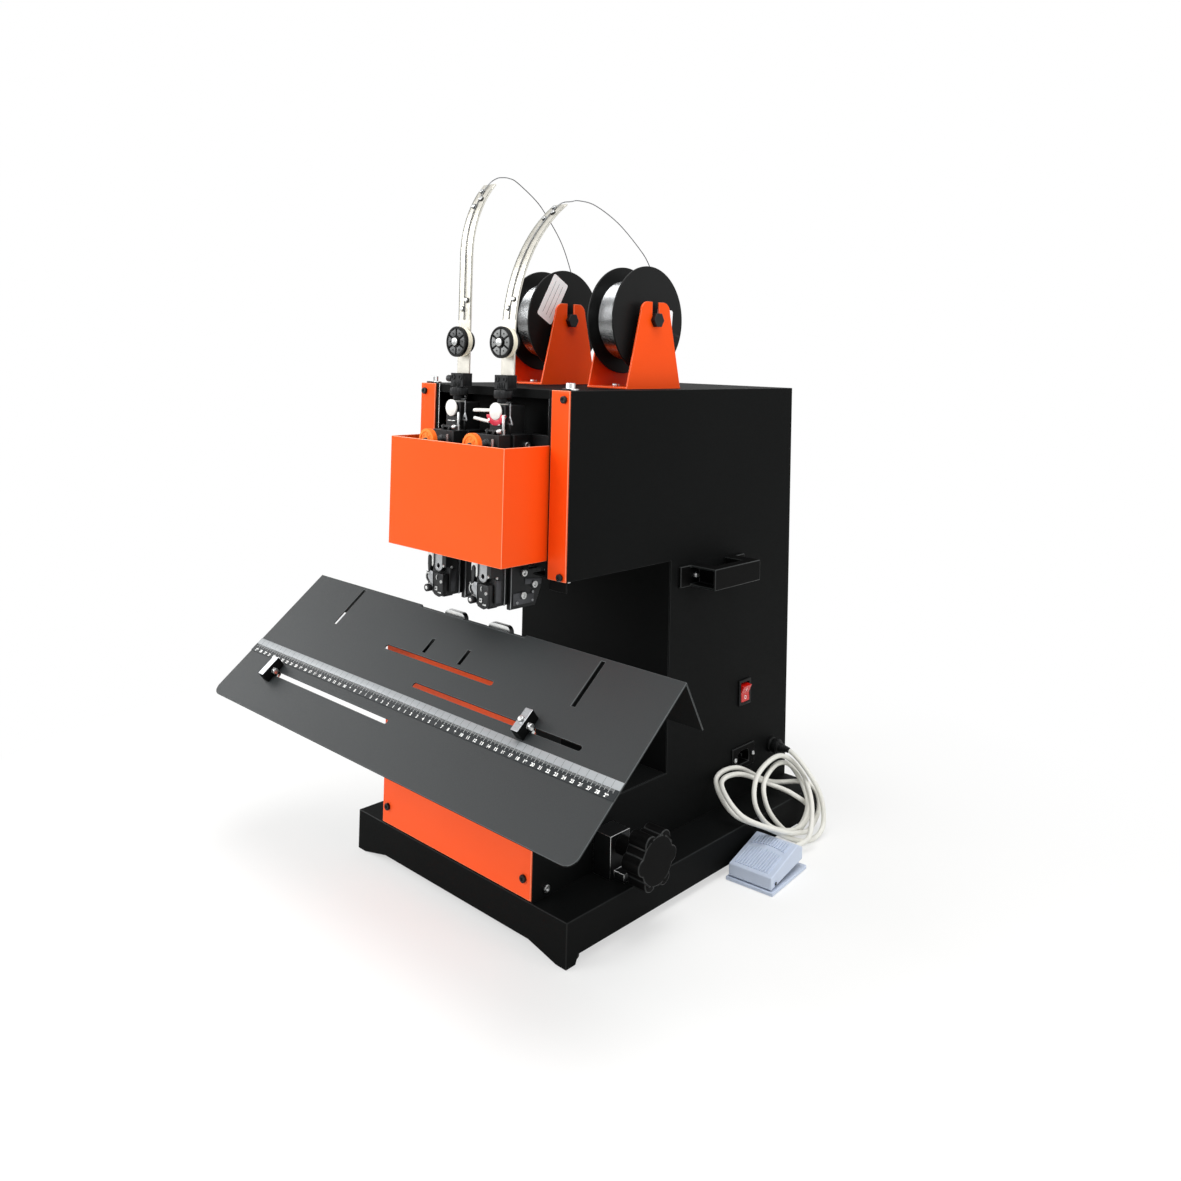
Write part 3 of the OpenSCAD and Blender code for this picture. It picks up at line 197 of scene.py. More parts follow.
# %% world
AMBIENT = 0.42
world = bpy.data.worlds.new("studio_white")
bpy.context.scene.world = world
world.use_nodes = True
sky = world.node_tree
sky.nodes.clear()
rays = node(sky, "ShaderNodeLightPath")
through = node(sky, "ShaderNodeMath", {
    0: rays.outputs["Is Camera Ray"],
    1: rays.outputs["Is Transmission Ray"],
}, operation="MAXIMUM")
seen = node(sky, "ShaderNodeMath", {
    0: through.outputs[0],
    1: rays.outputs["Is Glossy Ray"],
}, operation="MAXIMUM")
strength = node(sky, "ShaderNodeMapRange", {"Value": seen.outputs[0], "To Min": AMBIENT, "To Max": 1.0})
glow = node(sky, "ShaderNodeBackground", {"Color": WHITE, "Strength": strength.outputs["Result"]})
node(sky, "ShaderNodeOutputWorld", {"Surface": glow.outputs["Background"]})
print("world light", AMBIENT)

# %% [markdown]
# The floor is a roll of white paper. A plain white sheet would show where it ends.
# So the camera sees it glow more and more with distance from the machine, until it is as white as the world.
# Near the machine enough of the paper's own shading is left to hold the shadow.

# %% floor
FLOOR_REACH, FLOOR_DROP = 12.0, 0.0005
FADE_START, FADE_END, FADE_NEAR = 0.42, 0.85, 0.55
floor_mesh = bpy.data.meshes.new("studio_floor")
bm = bmesh.new()
bmesh.ops.create_grid(bm, x_segments=1, y_segments=1, size=FLOOR_REACH)
bm.to_mesh(floor_mesh)
bm.free()
floor = bpy.data.objects.new("studio_floor", floor_mesh)
floor.location.z = -FLOOR_DROP
bpy.context.scene.collection.objects.link(floor)
paper = bpy.data.materials.new("seamless_white_paper")
paper.use_nodes = True
tree = paper.node_tree
tree.nodes.clear()
rays = node(tree, "ShaderNodeLightPath")
matte = node(tree, "ShaderNodeBsdfDiffuse", {"Color": linear("#F4F4F2")})
white = node(tree, "ShaderNodeEmission", {"Color": WHITE, "Strength": 1.0})
spot = node(tree, "ShaderNodeTexCoord").outputs["Object"]
distance = node(tree, "ShaderNodeVectorMath", {0: spot}, operation="LENGTH")
far = node(tree, "ShaderNodeMapRange", {
    "Value": distance.outputs["Value"],
    "From Min": FADE_START,
    "From Max": FADE_END,
    "To Min": FADE_NEAR,
})
mask = node(tree, "ShaderNodeMath", {
    0: far.outputs["Result"],
    1: rays.outputs["Is Camera Ray"],
}, operation="MULTIPLY")
mix = node(tree, "ShaderNodeMixShader", {
    0: mask.outputs[0],
    1: matte.outputs["BSDF"],
    2: white.outputs["Emission"],
})
node(tree, "ShaderNodeOutputMaterial", {"Surface": mix.outputs["Shader"]})
floor_mesh.materials.append(paper)
print("floor laid")

# %% [markdown]
# Four large round lamps give the faces their order: the front is brightest, the right side falls into
# shade, and the top is between. Small lamps would leave hard shadows, so each is over a metre wide.

# %% lamps
def lamp(name, place, aim, size, power):
    data = bpy.data.lights.new(name, "AREA")
    data.shape = "DISK"
    data.size = size
    data.energy = power
    made = bpy.data.objects.new(name, data)
    facing = (Vector(place) - Vector(aim)).to_track_quat("Z", "Y").to_matrix().to_4x4()
    made.matrix_world = Matrix.Translation(place) @ facing
    bpy.context.scene.collection.objects.link(made)


lamp("front_softbox", (-0.9, -2.2, 1.5), (0, 0, 0.35), 1.6, 42)
lamp("top_softbox", (0.5, -0.3, 2.6), (0, 0, 0.3), 1.8, 40)
lamp("right_fill", (2.3, 0.4, 1.3), (0, 0, 0.3), 1.6, 16)
lamp("left_window", (-2.0, -0.8, 1.15), (-0.2, -0.3, 0.2), 1.2, 16)
bpy.context.scene.view_settings.view_transform = "Standard"

# %% [markdown]
# Painted, plated and moulded surfaces have two things in common: a slow drift of tone, and a fine grain.
# One grain sets both gloss and relief, so that the two follow the same spots.
# Each kind of surface could have its own tree, but one function makes them all, and three short ones
# hold what differs for powder coats, metals and plastics.

# %% grained finish
GRAIN_LOW, GRAIN_HIGH = 0.3, 0.7


def grained_finish(name, colour, drift, rough, grain_mm, relief, patch_mm, spread, depth_mm,
                   details=(3.0, 3.0), level=0.5, metallic=0.0, stretch=(1, 1, 1)):
    mat = bpy.data.materials.new(name)
    mat.use_nodes = True
    tree = mat.node_tree
    tree.nodes.clear()
    shader = node(tree, "ShaderNodeBsdfPrincipled", {"Metallic": metallic, "Specular IOR Level": level})
    node(tree, "ShaderNodeOutputMaterial", {"Surface": shader.outputs["BSDF"]})
    place = node(tree, "ShaderNodeTexCoord").outputs["Object"]
    patches = node(tree, "ShaderNodeTexNoise", {
        "Vector": place,
        "Scale": 1 / (patch_mm * MM),
        "Detail": details[0],
    })
    tone = node(tree, "ShaderNodeMix", {
        0: patches.outputs["Fac"],
        6: linear(colour),
        7: linear(drift),
    }, data_type="RGBA")
    stretched = node(tree, "ShaderNodeMapping", {"Vector": place, "Scale": stretch})
    grain = node(tree, "ShaderNodeTexNoise", {
        "Vector": stretched.outputs["Vector"],
        "Scale": 1 / (grain_mm * MM),
        "Detail": details[1],
    })
    gloss = node(tree, "ShaderNodeMapRange", {
        "Value": grain.outputs["Fac"],
        "From Min": GRAIN_LOW,
        "From Max": GRAIN_HIGH,
        "To Min": rough - spread,
        "To Max": rough + spread,
    })
    bump = node(tree, "ShaderNodeBump", {
        "Height": grain.outputs["Fac"],
        "Strength": relief,
        "Distance": depth_mm * MM,
    })
    tree.links.new(tone.outputs[2], shader.inputs["Base Color"])
    tree.links.new(gloss.outputs["Result"], shader.inputs["Roughness"])
    tree.links.new(bump.outputs["Normal"], shader.inputs["Normal"])
    return mat


print("finish helper ready")

# %% [markdown]
# The housing is folded sheet steel with a powder coat.
# A powder coat melts into a skin that is nearly smooth, with a faint dimpled grain like an orange's skin.
# The dimples could be modelled, but at about a millimetre a bump shows them well enough.

# %% powder coats
def powder_coat(name, colour, drift, grain_mm, rough, relief, level):
    return grained_finish(name, colour, drift, rough, grain_mm, relief, level=level,
                          patch_mm=160, spread=0.07, depth_mm=0.12, details=(4.0, 3.0))


# semi-matt black, whose grain shows only where light skims it
black_coat = powder_coat("powder_coat_black", "#090A0A", "#0E0F0F", 1.4, 0.62, 0.35, 0.05)
# the same coat on a folded edge, glossier and a little brighter as a painted highlight
black_edge_highlight = powder_coat("powder_coat_black_edge", "#141616", "#1B1D1D", 1.4, 0.42, 0.2, 0.14)
# warm orange with a satin gloss
orange_coat = powder_coat("powder_coat_orange", "#FB5510", "#F54C0A", 1.3, 0.42, 0.3, 0.15)
# the lower panel, a little paler than the rest
panel_coat = powder_coat("powder_coat_pale_orange", "#FB5E28", "#F65522", 1.3, 0.42, 0.3, 0.15)
# the orange parts' bevelled edges, painted much paler as a painted highlight
orange_edge_highlight = powder_coat("powder_coat_orange_edge", "#FFA07C", "#FF8C62", 1.3, 0.38, 0.15, 0.5)
# charcoal table coat, whose grain is finer but deeper
grey_coat = powder_coat("powder_coat_charcoal", "#1B1E1F", "#212526", 0.9, 0.56, 0.5, 0.33)
# the same coat along the table's edges, painted paler as a painted highlight
grey_edge_highlight = powder_coat("powder_coat_charcoal_edge", "#4A4E4F", "#55595A", 0.9, 0.5, 0.2, 0.25)
print("powder coats made")

# %% [markdown]
# Metals differ by how they were finished.
# Drawn wire and cut strip carry fine lines along their length, zinc plate is bright and slightly cloudy,
# and black oxide is a dark skin with a dull metal shine.
# Lines could come from anisotropic gloss, but a grain that is stretched one way also shows from close by.
# Real lines are finer than these, which are drawn as coarse as they need to be to show.

# %% metals
def drawn_metal(name, colour, shade, rough, lines_mm, stretch=(1, 1, 1), metallic=1.0):
    return grained_finish(name, colour, shade, rough, lines_mm, 0.25, metallic=metallic, stretch=stretch,
                          patch_mm=12, spread=0.08, depth_mm=0.05)


# the rolled edges of the guide strips, greyer than the strips
rolled_edge = drawn_metal("galvanised_rolled_edge", "#83847F", "#6E6F6B", 0.45, 0.7)
# wire off the spool, mid grey with a soft shine
feed_steel = drawn_metal("stitching_wire", "#7A7C7E", "#626466", 0.4, 0.5)
# zinc plate, bright and slightly cloudy
zinc = drawn_metal("zinc_plated_steel", "#D2D3D2", "#B0B2B3", 0.3, 0.8)
# zinc gone dull, which looks pale from every side
dull_zinc = drawn_metal("dull_zinc_plate", "#DADBDA", "#BEC0C0", 0.38, 0.8, metallic=0.35)
# warm pale strip with faint lines down its length
galvanised = drawn_metal("galvanised_strip", "#D8D5CC", "#B2AFA6", 0.42, 0.7, (1, 0.06, 0.06))
# wound wire, which glints along each turn
steel_wire = drawn_metal("drawn_steel_wire", "#BCBEBF", "#989A9C", 0.24, 0.5)
# black oxide, dark with a dull shine
black_oxide = drawn_metal("black_oxide_steel", "#2A2B2C", "#1C1D1E", 0.42, 1.0, metallic=0.75)
# blued iron, dark grey with broad soft lights
dark_iron = drawn_metal("blued_cast_iron", "#3A3B3C", "#262728", 0.45, 1.2, metallic=0.8)
# blued iron that is rubbed paler
worn_iron = drawn_metal("worn_blued_iron", "#55565A", "#3C3D3F", 0.45, 1.2, metallic=0.8)
# ground steel, with grinding lines from left to right
ground_steel = drawn_metal("ground_tool_steel", "#A9ABAD", "#8D8F92", 0.34, 0.6, (0.1, 1, 1))
# the ruler's aluminium, brushed along its length
aluminium = drawn_metal("brushed_aluminium", "#94989A", "#85898B", 0.45, 0.5, (0.05, 1, 1), metallic=0.45)
print("metals made")

# %% [markdown]
# Moulded plastics keep the texture of their mould: a fine matt grain on the grips, a smoother skin on the
# pedal. The cord's sheath is soft PVC, and inks and paper lie flat and dull.
# All of them could be one smooth plastic in many colours, but their gloss is what tells them apart.

# %% plastics
def moulded(name, colour, drift, rough, grain_mm=0.6, relief=0.2, level=0.5):
    return grained_finish(name, colour, drift, rough, grain_mm, relief, level=level,
                          patch_mm=30, spread=0.05, depth_mm=0.06, details=(3.0, 2.0))


# deep black nylon with a soft shine
black_plastic = moulded("moulded_black_nylon", "#0B0C0C", "#101111", 0.42, level=0.14)
# the rollers' bodies, warm and pale, with faces in two greys
cream_nylon = moulded("cream_nylon", "#EFE9D6", "#E4DDC8", 0.4)
roller_grey = moulded("charcoal_nylon", "#3B3D3F", "#464849", 0.45)
roller_pale = moulded("mid_grey_nylon", "#6F7171", "#7B7D7D", 0.45)
# the feed wheels' faces, lighter than their rims
pale_orange = moulded("orange_nylon_face", "#FF8B3A", "#FF7E2A", 0.36, level=0.25)
# caps, fork and rings, a clean white
white_nylon = moulded("white_nylon", "#F0F0EC", "#E4E4DF", 0.4)
# the rocker, smooth and glossy
red_plastic = moulded("red_polycarbonate", "#D3160C", "#B80E08", 0.18, relief=0.05)
# the collar round the cap, a pinkish red
pink_plastic = moulded("red_nylon", "#DA2C48", "#C8203C", 0.35)
# the pedal, a cool pale blue
pedal_plastic = moulded("pale_blue_abs", "#CBD5E6", "#C1CCDF", 0.4, 0.5, 0.25, 0.3)
# the cord's sheath, a warm near-white grey
cord_pvc = moulded("grey_pvc_sheath", "#EDECE5", "#E3E2DA", 0.4, 0.9, 0.15, 0.3)
# the feet, nearly without shine
rubber = moulded("black_rubber", "#121212", "#191919", 0.75, 0.8, 0.4)
# the feed wheels' rims
orange_plastic = moulded("orange_nylon", "#FA721C", "#F46812", 0.36, level=0.25)
# flat white paper, then grey and white ink
label_paper = moulded("blank_paper_label", "#FFFFFF", "#F8F9FB", 0.55, 0.4, 0.1)
tick_print = moulded("grey_ink", "#A9ACAC", "#9C9F9F", 0.55, 0.3, 0.05)
white_print = moulded("white_ink", "#F2F3F1", "#E6E8E6", 0.5, 0.3, 0.05)
# the ruler's dark band, dull so that its numbers stand out
ruler_band = moulded("black_anodised_band", "#202325", "#282B2D", 0.5, 0.4, 0.1, 0.15)
# black phenolic, dull on its faces, with a painted highlight along its edges
phenolic = moulded("black_phenolic", "#070707", "#0B0B0B", 0.5, level=0.04)
phenolic_edge_highlight = moulded("black_phenolic_edge", "#272929", "#1F2121", 0.4, level=0.25)
cord.data.materials.append(cord_pvc)
print("plastics made")

# %% [markdown]
# Every piece ends in the same way: its bmesh becomes an object with materials, rides on a body of the frame
# and hides the CAD nodes it stands for.
# Smooth shading with sharp edges by angle lets round faces look round and flat ones flat.

# %% finishing a piece
def finish_piece(name, bm, body, materials, replaced=(), sharp=35):
    mesh = bpy.data.meshes.new(name)
    bm.to_mesh(mesh)
    bm.free()
    for material in materials:
        mesh.materials.append(material)
    mesh.shade_smooth()
    mesh.set_sharp_from_angle(angle=math.radians(sharp))
    made = bpy.data.objects.new(name, mesh)
    bpy.context.scene.collection.objects.link(made)
    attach(made, body)
    if replaced:
        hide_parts(*replaced)
    return made


print("finishing helper ready")

# %% [markdown]
# Sheet and moulded parts never have knife edges, and it is the small rounded edge that catches the light.
# A Bevel modifier on the CAD node would trip over its loose triangles.
# So the node is copied, its triangles are merged and flattened into whole faces, and its edges are bevelled.
# Where a bevel would stand out past the node, it is clamped. The copy then stands for the node.

# %% dressing a CAD node
MERGE_MM, FLAT_DEGREES, EDGE_DEGREES = 0.004, 0.6, 30
LARGEST_RISE, FLAT_AREA = 0.05, 150


def bevelled(cad, bevel, segments, clamp):
    bm = bmesh.new()
    bm.from_mesh(frame["nodes"][cad].data)
    bmesh.ops.remove_doubles(bm, verts=bm.verts, dist=MERGE_MM * MM)
    bmesh.ops.dissolve_limit(bm, angle_limit=math.radians(FLAT_DEGREES), verts=bm.verts, edges=bm.edges)
    for face in bm.faces:
        face.material_index = 0
    folds = [e for e in bm.edges if len(e.link_faces) == 2]
    sharp = [e for e in folds if e.calc_face_angle(0) > math.radians(EDGE_DEGREES)]
    strips = bmesh.ops.bevel(bm, geom=sharp, offset=bevel * MM, offset_type="OFFSET", segments=segments,
                             profile=0.5, affect="EDGES", clamp_overlap=clamp, material=-1)
    for face in strips["faces"]:
        face.material_index = 1
    low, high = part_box(cad)
    over = max(max(low[i] - v.co[i], v.co[i] - high[i]) for v in bm.verts for i in range(3))
    return bm, over / MM


def dress(cad, coat, edge=None, bevel=0.5, segments=2, paint=None, more=()):
    bm, over = bevelled(cad, bevel, segments, False)
    if over > LARGEST_RISE:
        bm.free()
        print(cad, "bevel stood out by", round(over, 2), "mm, so it is clamped")
        bm = bevelled(cad, bevel, segments, True)[0]
    if paint:
        for face in bm.faces:
            chosen = paint(face.calc_center_median() / MM, face.normal)
            if chosen is not None:
                face.material_index = chosen
    # the bevel strips take the edge finish, which most pieces give as a painted highlight
    coats = [coat, edge or coat, *more]
    made = finish_piece(cad + ".dressed", bm, frame["nodes"][cad]["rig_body"], coats, (cad,))
    for face in made.data.polygons:
        if face.area > FLAT_AREA * MM * MM:
            face.use_smooth = False


print("dressing helpers ready")

# %% [markdown]
# The sheet parts come first: black housing, orange straps, tray and panel, and the charcoal table.
# Each could be one colour all over, but a paler edge along every fold, a painted highlight, is what makes it
# read as sheet metal.
# The left panel keeps a bare cut edge, and the table's underside is painted black as painted shade.

# %% sheet parts
# places in a piece's list of finishes, after its coat and its edge
THIRD, FOURTH = 2, 3


def bare_cut_edge(centre, normal):
    on_edge = -93.3 < centre.x < -92 and abs(normal.x) < 0.5
    return THIRD if on_edge and centre.z > 365 and centre.y < -125 else None


# painted shade: the table's downward faces get the black coat, though the real table is charcoal on both
# sides
def underside(centre, normal):
    return THIRD if normal.z < -0.2 else None


dress("left_side_panel", black_coat, black_edge_highlight, more=(zinc,), paint=bare_cut_edge)
for name in ("right_side_panel", "top_cover", "rear_cover", "arm_floor", "throat_plate", "pedestal_sheet"):
    dress(name, black_coat, black_edge_highlight)
dress("base_plinth", black_coat, black_edge_highlight, bevel=0.9, segments=3)
for name in ("front_straps", "guard_tray"):
    dress(name, orange_coat, orange_edge_highlight)
dress("front_panel", panel_coat, orange_edge_highlight)
for name in ("left_spool_bracket", "right_spool_bracket"):
    dress(name, orange_coat, orange_edge_highlight, bevel=0.6)
dress("table", grey_coat, grey_edge_highlight, more=(black_coat,), paint=underside)
print("sheet parts dressed")

# %% [markdown]
# The grips are black phenolic, and the clamp, heads, rails and guides are steel or iron.
# Metal edges are only just broken, so most of them get smaller bevels than the grips.
# A second finish on some faces could be a separate piece, but choosing it by face keeps one mesh.

# %% grips, heads and guides
# painted shade: the clinchers' right flank, turned from the light, is painted black oxide
def right_flank(centre, normal):
    return THIRD if normal.x > 0.4 else None


def behind_strip(centre, normal):
    return THIRD if centre.y > -142.3 else None


dress("handles", phenolic, phenolic_edge_highlight, bevel=1.0, segments=3)
dress("clamp_knob", phenolic, phenolic_edge_highlight, bevel=1.0, segments=3)
# the clamp block's bevelled edges are zinc, a painted highlight along the black oxide
dress("clamp_block", black_oxide, zinc, bevel=0.4)
dress("table_post", grey_coat, grey_edge_highlight)
dress("clinchers", zinc, bevel=0.8, more=(black_oxide,), paint=right_flank)
dress("left_head", dark_iron)
dress("right_head", dark_iron)
dress("head_side_plates", black_oxide, bevel=0.4)
dress("head_rails", black_oxide, bevel=0.4)
dress("inner_plate", black_coat, bevel=0.3)
dress("wire_clamps", black_oxide, bevel=0.6)
dress("stitch_drivers", ground_steel, bevel=0.4)
dress("roller_axles", zinc, bevel=0.4, more=(black_oxide,), paint=behind_strip)
dress("spool_axles", black_oxide)
dress("left_wire_guide", galvanised, bevel=0.3)
dress("right_wire_guide", galvanised, bevel=0.3)
print("grips, heads and guides dressed")

# %% [markdown]
# Switch, sockets, pedal and spools are moulded, so their edges are a little rounder.
# The pedal stands askew on the floor. Its own frame finds the dark strip along each of its sides.

# %% moulded parts
PEDAL = Matrix.Translation((211.5 * MM, 89 * MM, 0)) @ Matrix.Rotation(math.radians(5), 4, "Z")


def pedal_side_strip(centre, normal):
    across = (PEDAL.inverted() @ (centre * MM)).x
    return THIRD if abs(across) > 27.7 * MM and 7 < centre.z < 13 else None


dress("switch_bezel", black_plastic, bevel=0.7)
dress("switch_rocker", red_plastic)
dress("mains_inlet", phenolic, phenolic_edge_highlight, bevel=0.6)
dress("pedal_socket", black_plastic, bevel=0.6)
dress("pedal_base", pedal_plastic, bevel=0.6, more=(black_plastic,), paint=pedal_side_strip)
dress("pedal_treadle", pedal_plastic, bevel=1.2, segments=3)
dress("left_spool", black_plastic, bevel=0.6)
dress("right_spool", black_plastic, bevel=0.6)
print("moulded parts dressed")

# %% [markdown]
# Most case screws are bright, and those on the arm's front and the lower front are black.
# The paper stops are black blocks on the sloping table, with a ground top and bright screws.
# The slope's own frame tells how far a face stands above the table.

# %% screws and stops
SLOPE = Matrix.Translation((0, -153.4 * MM, 306 * MM)) @ Matrix.Rotation(math.radians(38.65), 4, "X")
SLOPE_UP = SLOPE.to_3x3() @ Vector((0, 0, 1))


def black_screws(centre, normal):
    arm_front = centre.y < -130 and 100 < abs(centre.x) < 124 and centre.z > 366
    lower_front = centre.y < -172 and centre.z < 330
    return THIRD if arm_front or lower_front else None


def stop_finish(x):
    def chosen(centre, normal):
        height = (SLOPE.inverted() @ (centre * MM)).z
        if centre.x > x + 5.2 or height > 13.6 * MM:
            return FOURTH
        return THIRD if normal.dot(SLOPE_UP) > 0.9 and height > 12.8 * MM else None
    return chosen


dress("case_screws", zinc, bevel=0.4, more=(black_oxide,), paint=black_screws)
for name, x in (("left_stop", -226), ("right_stop", 168)):
    dress(name, black_coat, more=(ground_steel, zinc), paint=stop_finish(x))
print("screws and stops dressed")

# %% [markdown]
# The feet and the inner drive are hidden or hardly seen.
# A bevel on them would be lost, so the CAD nodes themselves get a material.

# %% plain nodes
for name, material in (
    ("rubber_feet", rubber),
    ("gear_motor", dark_iron),
    ("shaft_bearings", zinc),
    ("guide_rods", zinc),
    ("crosshead", ground_steel),
    ("main_shaft", ground_steel),
    ("drive_cam", ground_steel),
):
    mesh = frame["nodes"][name].data
    mesh.materials.clear()
    mesh.materials.append(material)
print("plain nodes covered")

# %% [markdown]
# Each spool is full of fine steel wire, laid turn beside turn.
# A bump could draw the turns, but real ones catch the light along each bend.
# A ring of six points is spun round the axle while it moves sideways, which gives the helix in one step.
# Stitching wire is about half a millimetre thick, and is drawn coarser here so that the turns show.

# %% windings
SPOOL_Y, SPOOL_Z, SPOOL_X = 34.5, 646.5, 70.0
WIRE_D, TURNS, WINDING_R = 0.98, 36, 47.2
WIRE_SIDES, TURN_STEPS = 6, 40
QUARTER = math.pi / 2


def winding(side, reel, cad):
    bm = bmesh.new()
    start = Vector((side * SPOOL_X - WIRE_D * TURNS / 2, SPOOL_Y, SPOOL_Z)) * MM
    # a little over half the wire's width, so that the turns touch
    ring = bmesh.ops.create_circle(bm, segments=WIRE_SIDES, radius=WIRE_D * 0.53 * MM)["verts"]
    bmesh.ops.rotate(bm, verts=ring, cent=(0, 0, 0), matrix=Matrix.Rotation(QUARTER, 3, "Y"))
    bmesh.ops.rotate(bm, verts=ring, cent=(0, 0, 0), matrix=Matrix.Rotation(QUARTER, 3, "Z"))
    bmesh.ops.translate(bm, verts=ring, vec=start + Vector((0, 0, WINDING_R * MM)))
    steps = TURN_STEPS * TURNS
    bmesh.ops.spin(bm, geom=list(bm.verts) + list(bm.edges), cent=start, axis=(1, 0, 0),
                   dvec=(WIRE_D * TURNS / steps * MM, 0, 0), angle=2 * math.pi * TURNS, steps=steps,
                   use_merge=False, use_duplicate=False)
    bmesh.ops.holes_fill(bm, edges=[e for e in bm.edges if e.is_boundary])
    bmesh.ops.recalc_face_normals(bm, faces=bm.faces)
    return finish_piece(cad + ".wound", bm, reel, [steel_wire], (cad,), 60)


for side, reel, cad in ((-1, "left_reel", "left_winding"), (1, "right_reel", "right_winding")):
    wound = winding(side, reel, cad)
    print(wound.name, len(wound.data.polygons), "faces")

# %% [markdown]
# Small turned, cut and milled parts make up most of a stitching head.
# Each could be an object of its own, but hundreds of objects are hard to keep in order.
# So every shape is made at the origin, moved to its spot and joined to a growing mesh, and one piece holds
# several shapes and finishes.

# %% placing and joining
FRONT, BACK, RIGHT, LEFT, TOP = (0, -1, 0), (0, 1, 0), (1, 0, 0), (-1, 0, 0), (0, 0, 1)


def at(x, y, z, direction=TOP):
    spot = Matrix.Translation(Vector((x, y, z)) * MM)
    if direction == TOP:
        return spot
    return spot @ Vector(direction).to_track_quat("Z", "Y").to_matrix().to_4x4()


def join(bm, part, spot, material):
    bmesh.ops.transform(part, matrix=spot, verts=part.verts)
    for face in part.faces:
        face.material_index = material
    mesh = bpy.data.meshes.new("part")
    part.to_mesh(mesh)
    part.free()
    bm.from_mesh(mesh)
    bpy.data.meshes.remove(mesh)


print("placing helpers ready")

# %% [markdown]
# A lathe gives a profile that is spun round an axis, and a saw gives an outline that is pushed into a plate.
# Nearly every small part is one of the two. A block is a plate with four corners, and a screw head a
# profile with a socket in it.

# %% turned and cut shapes
def turned(bm, profile, spot, material=0, steps=32):
    part = bmesh.new()
    line = [part.verts.new((r * MM, 0, h * MM)) for r, h in profile]
    chain = [part.edges.new(pair) for pair in zip(line, line[1:])]
    bmesh.ops.spin(part, geom=line + chain, cent=(0, 0, 0), axis=(0, 0, 1), angle=2 * math.pi, steps=steps,
                   use_merge=True, use_duplicate=False)
    bmesh.ops.remove_doubles(part, verts=part.verts, dist=0.001 * MM)
    bmesh.ops.recalc_face_normals(part, faces=part.faces)
    join(bm, part, spot, material)


def plate(bm, outline, thick, spot, material=0, bevel=0.2):
    part = bmesh.new()
    face = part.faces.new([part.verts.new((x * MM, y * MM, 0)) for x, y in outline])
    pushed = bmesh.ops.extrude_face_region(part, geom=[face])["geom"]
    far_side = [v for v in pushed if isinstance(v, bmesh.types.BMVert)]
    bmesh.ops.translate(part, verts=far_side, vec=(0, 0, thick * MM))
    bmesh.ops.recalc_face_normals(part, faces=part.faces)
    if bevel:
        sharp = [e for e in part.edges if e.calc_face_angle(0) > 0.5]
        bmesh.ops.bevel(part, geom=sharp, offset=bevel * MM, offset_type="OFFSET", segments=2, profile=0.5,
                        affect="EDGES", clamp_overlap=True, material=-1)
    join(bm, part, spot, material)


def block(bm, size, spot, material=0, bevel=0.2):
    w, h = size[0] / 2, size[1] / 2
    plate(bm, [(-w, -h), (w, -h), (w, h), (-w, h)], size[2], spot, material, bevel)


def screw_head(bm, spot, diameter, height, material=0):
    r = diameter / 2
    socket_h = 0.35 * height
    profile = [(0, socket_h), (0.42 * r, socket_h), (0.48 * r, height), (0.8 * r, 0.94 * height),
               (r, 0.55 * height), (r, 0), (0, 0)]
    turned(bm, profile, spot, material, 20)


print("shape helpers ready")

# %% [markdown]
# Round and round-cornered outlines are needed often. Every other point of a circle can be set back,
# which gives the teeth of a knurled rim.

# %% outlines
def circle(r, count, a0=0.0, a1=360.0, dent=0.0):
    points = count if a1 - a0 == 360 else count + 1
    turns = [math.radians(a0 + (a1 - a0) * i / count) for i in range(points)]
    radii = [r - dent * (i % 2) for i in range(points)]
    return [(radius * math.cos(q), radius * math.sin(q)) for radius, q in zip(radii, turns)]


def rounded(w, h, r):
    x, y = w / 2 - r, h / 2 - r
    corners = ((x, y, 0), (-x, y, 90), (-x, -y, 180), (x, -y, 270))
    return [(cx + px, cy + py) for cx, cy, a in corners for px, py in circle(r, 4, a, a + 90)]


print("outline helpers ready")

# %% [markdown]
# The ruler is a thin aluminium strip across the table, with a dark printed band.
# The band could be a second strip, but two cuts along the first one mark it off without any step.

# %% ruler strip
RULER_L, RULER_S, RULER_W, RULER_T = 600, -108.4, 18.4, 0.6
BAND_TOP, BAND_LOW = -116.4, -126.9
STRIP, BAND, NUMBERS, TICKS = range(4)
bm = bmesh.new()
block(bm, (RULER_L, RULER_W, RULER_T), SLOPE @ at(0, RULER_S - RULER_W / 2, 0), STRIP, 0.1)
for s in (BAND_TOP, BAND_LOW):
    bmesh.ops.bisect_plane(bm, geom=list(bm.verts) + list(bm.edges) + list(bm.faces),
                           plane_co=SLOPE @ Vector((0, s * MM, 0)),
                           plane_no=SLOPE.to_3x3() @ Vector((0, 1, 0)))
for face in bm.faces:
    s = (SLOPE.inverted() @ face.calc_center_median()).y / MM
    face.material_index = BAND if BAND_LOW < s < BAND_TOP else STRIP
print("ruler strip cut into", len(bm.faces), "faces")

# %% [markdown]
# Fine light ticks hang from the bright part, longer every 5 and 10 mm, and a dark line stands on every
# centimetre. They could be drawn in a material, but real, thin bars stay sharp from close by.

# %% ruler ticks
TICK_REACH, LINE_S, LINE_L = 295, -112.4, 7.4
for x in range(-TICK_REACH, TICK_REACH + 1):
    long, wide = (4.8, 0.5) if x % 10 == 0 else (3.8, 0.4) if x % 5 == 0 else (2.4, 0.2)
    block(bm, (wide, long, 0.05), SLOPE @ at(x, BAND_TOP - long / 2, RULER_T), TICKS, 0)
    if x % 10 == 0:
        block(bm, (0.25, LINE_L, 0.03), SLOPE @ at(x, LINE_S, RULER_T), BAND, 0)
print("ticks from", -TICK_REACH, "to", TICK_REACH)

# %% [markdown]
# Plain numbers count the centimetres from the middle.
# Text objects write them. They are made meshes and joined to the strip, so the ruler stays one piece.

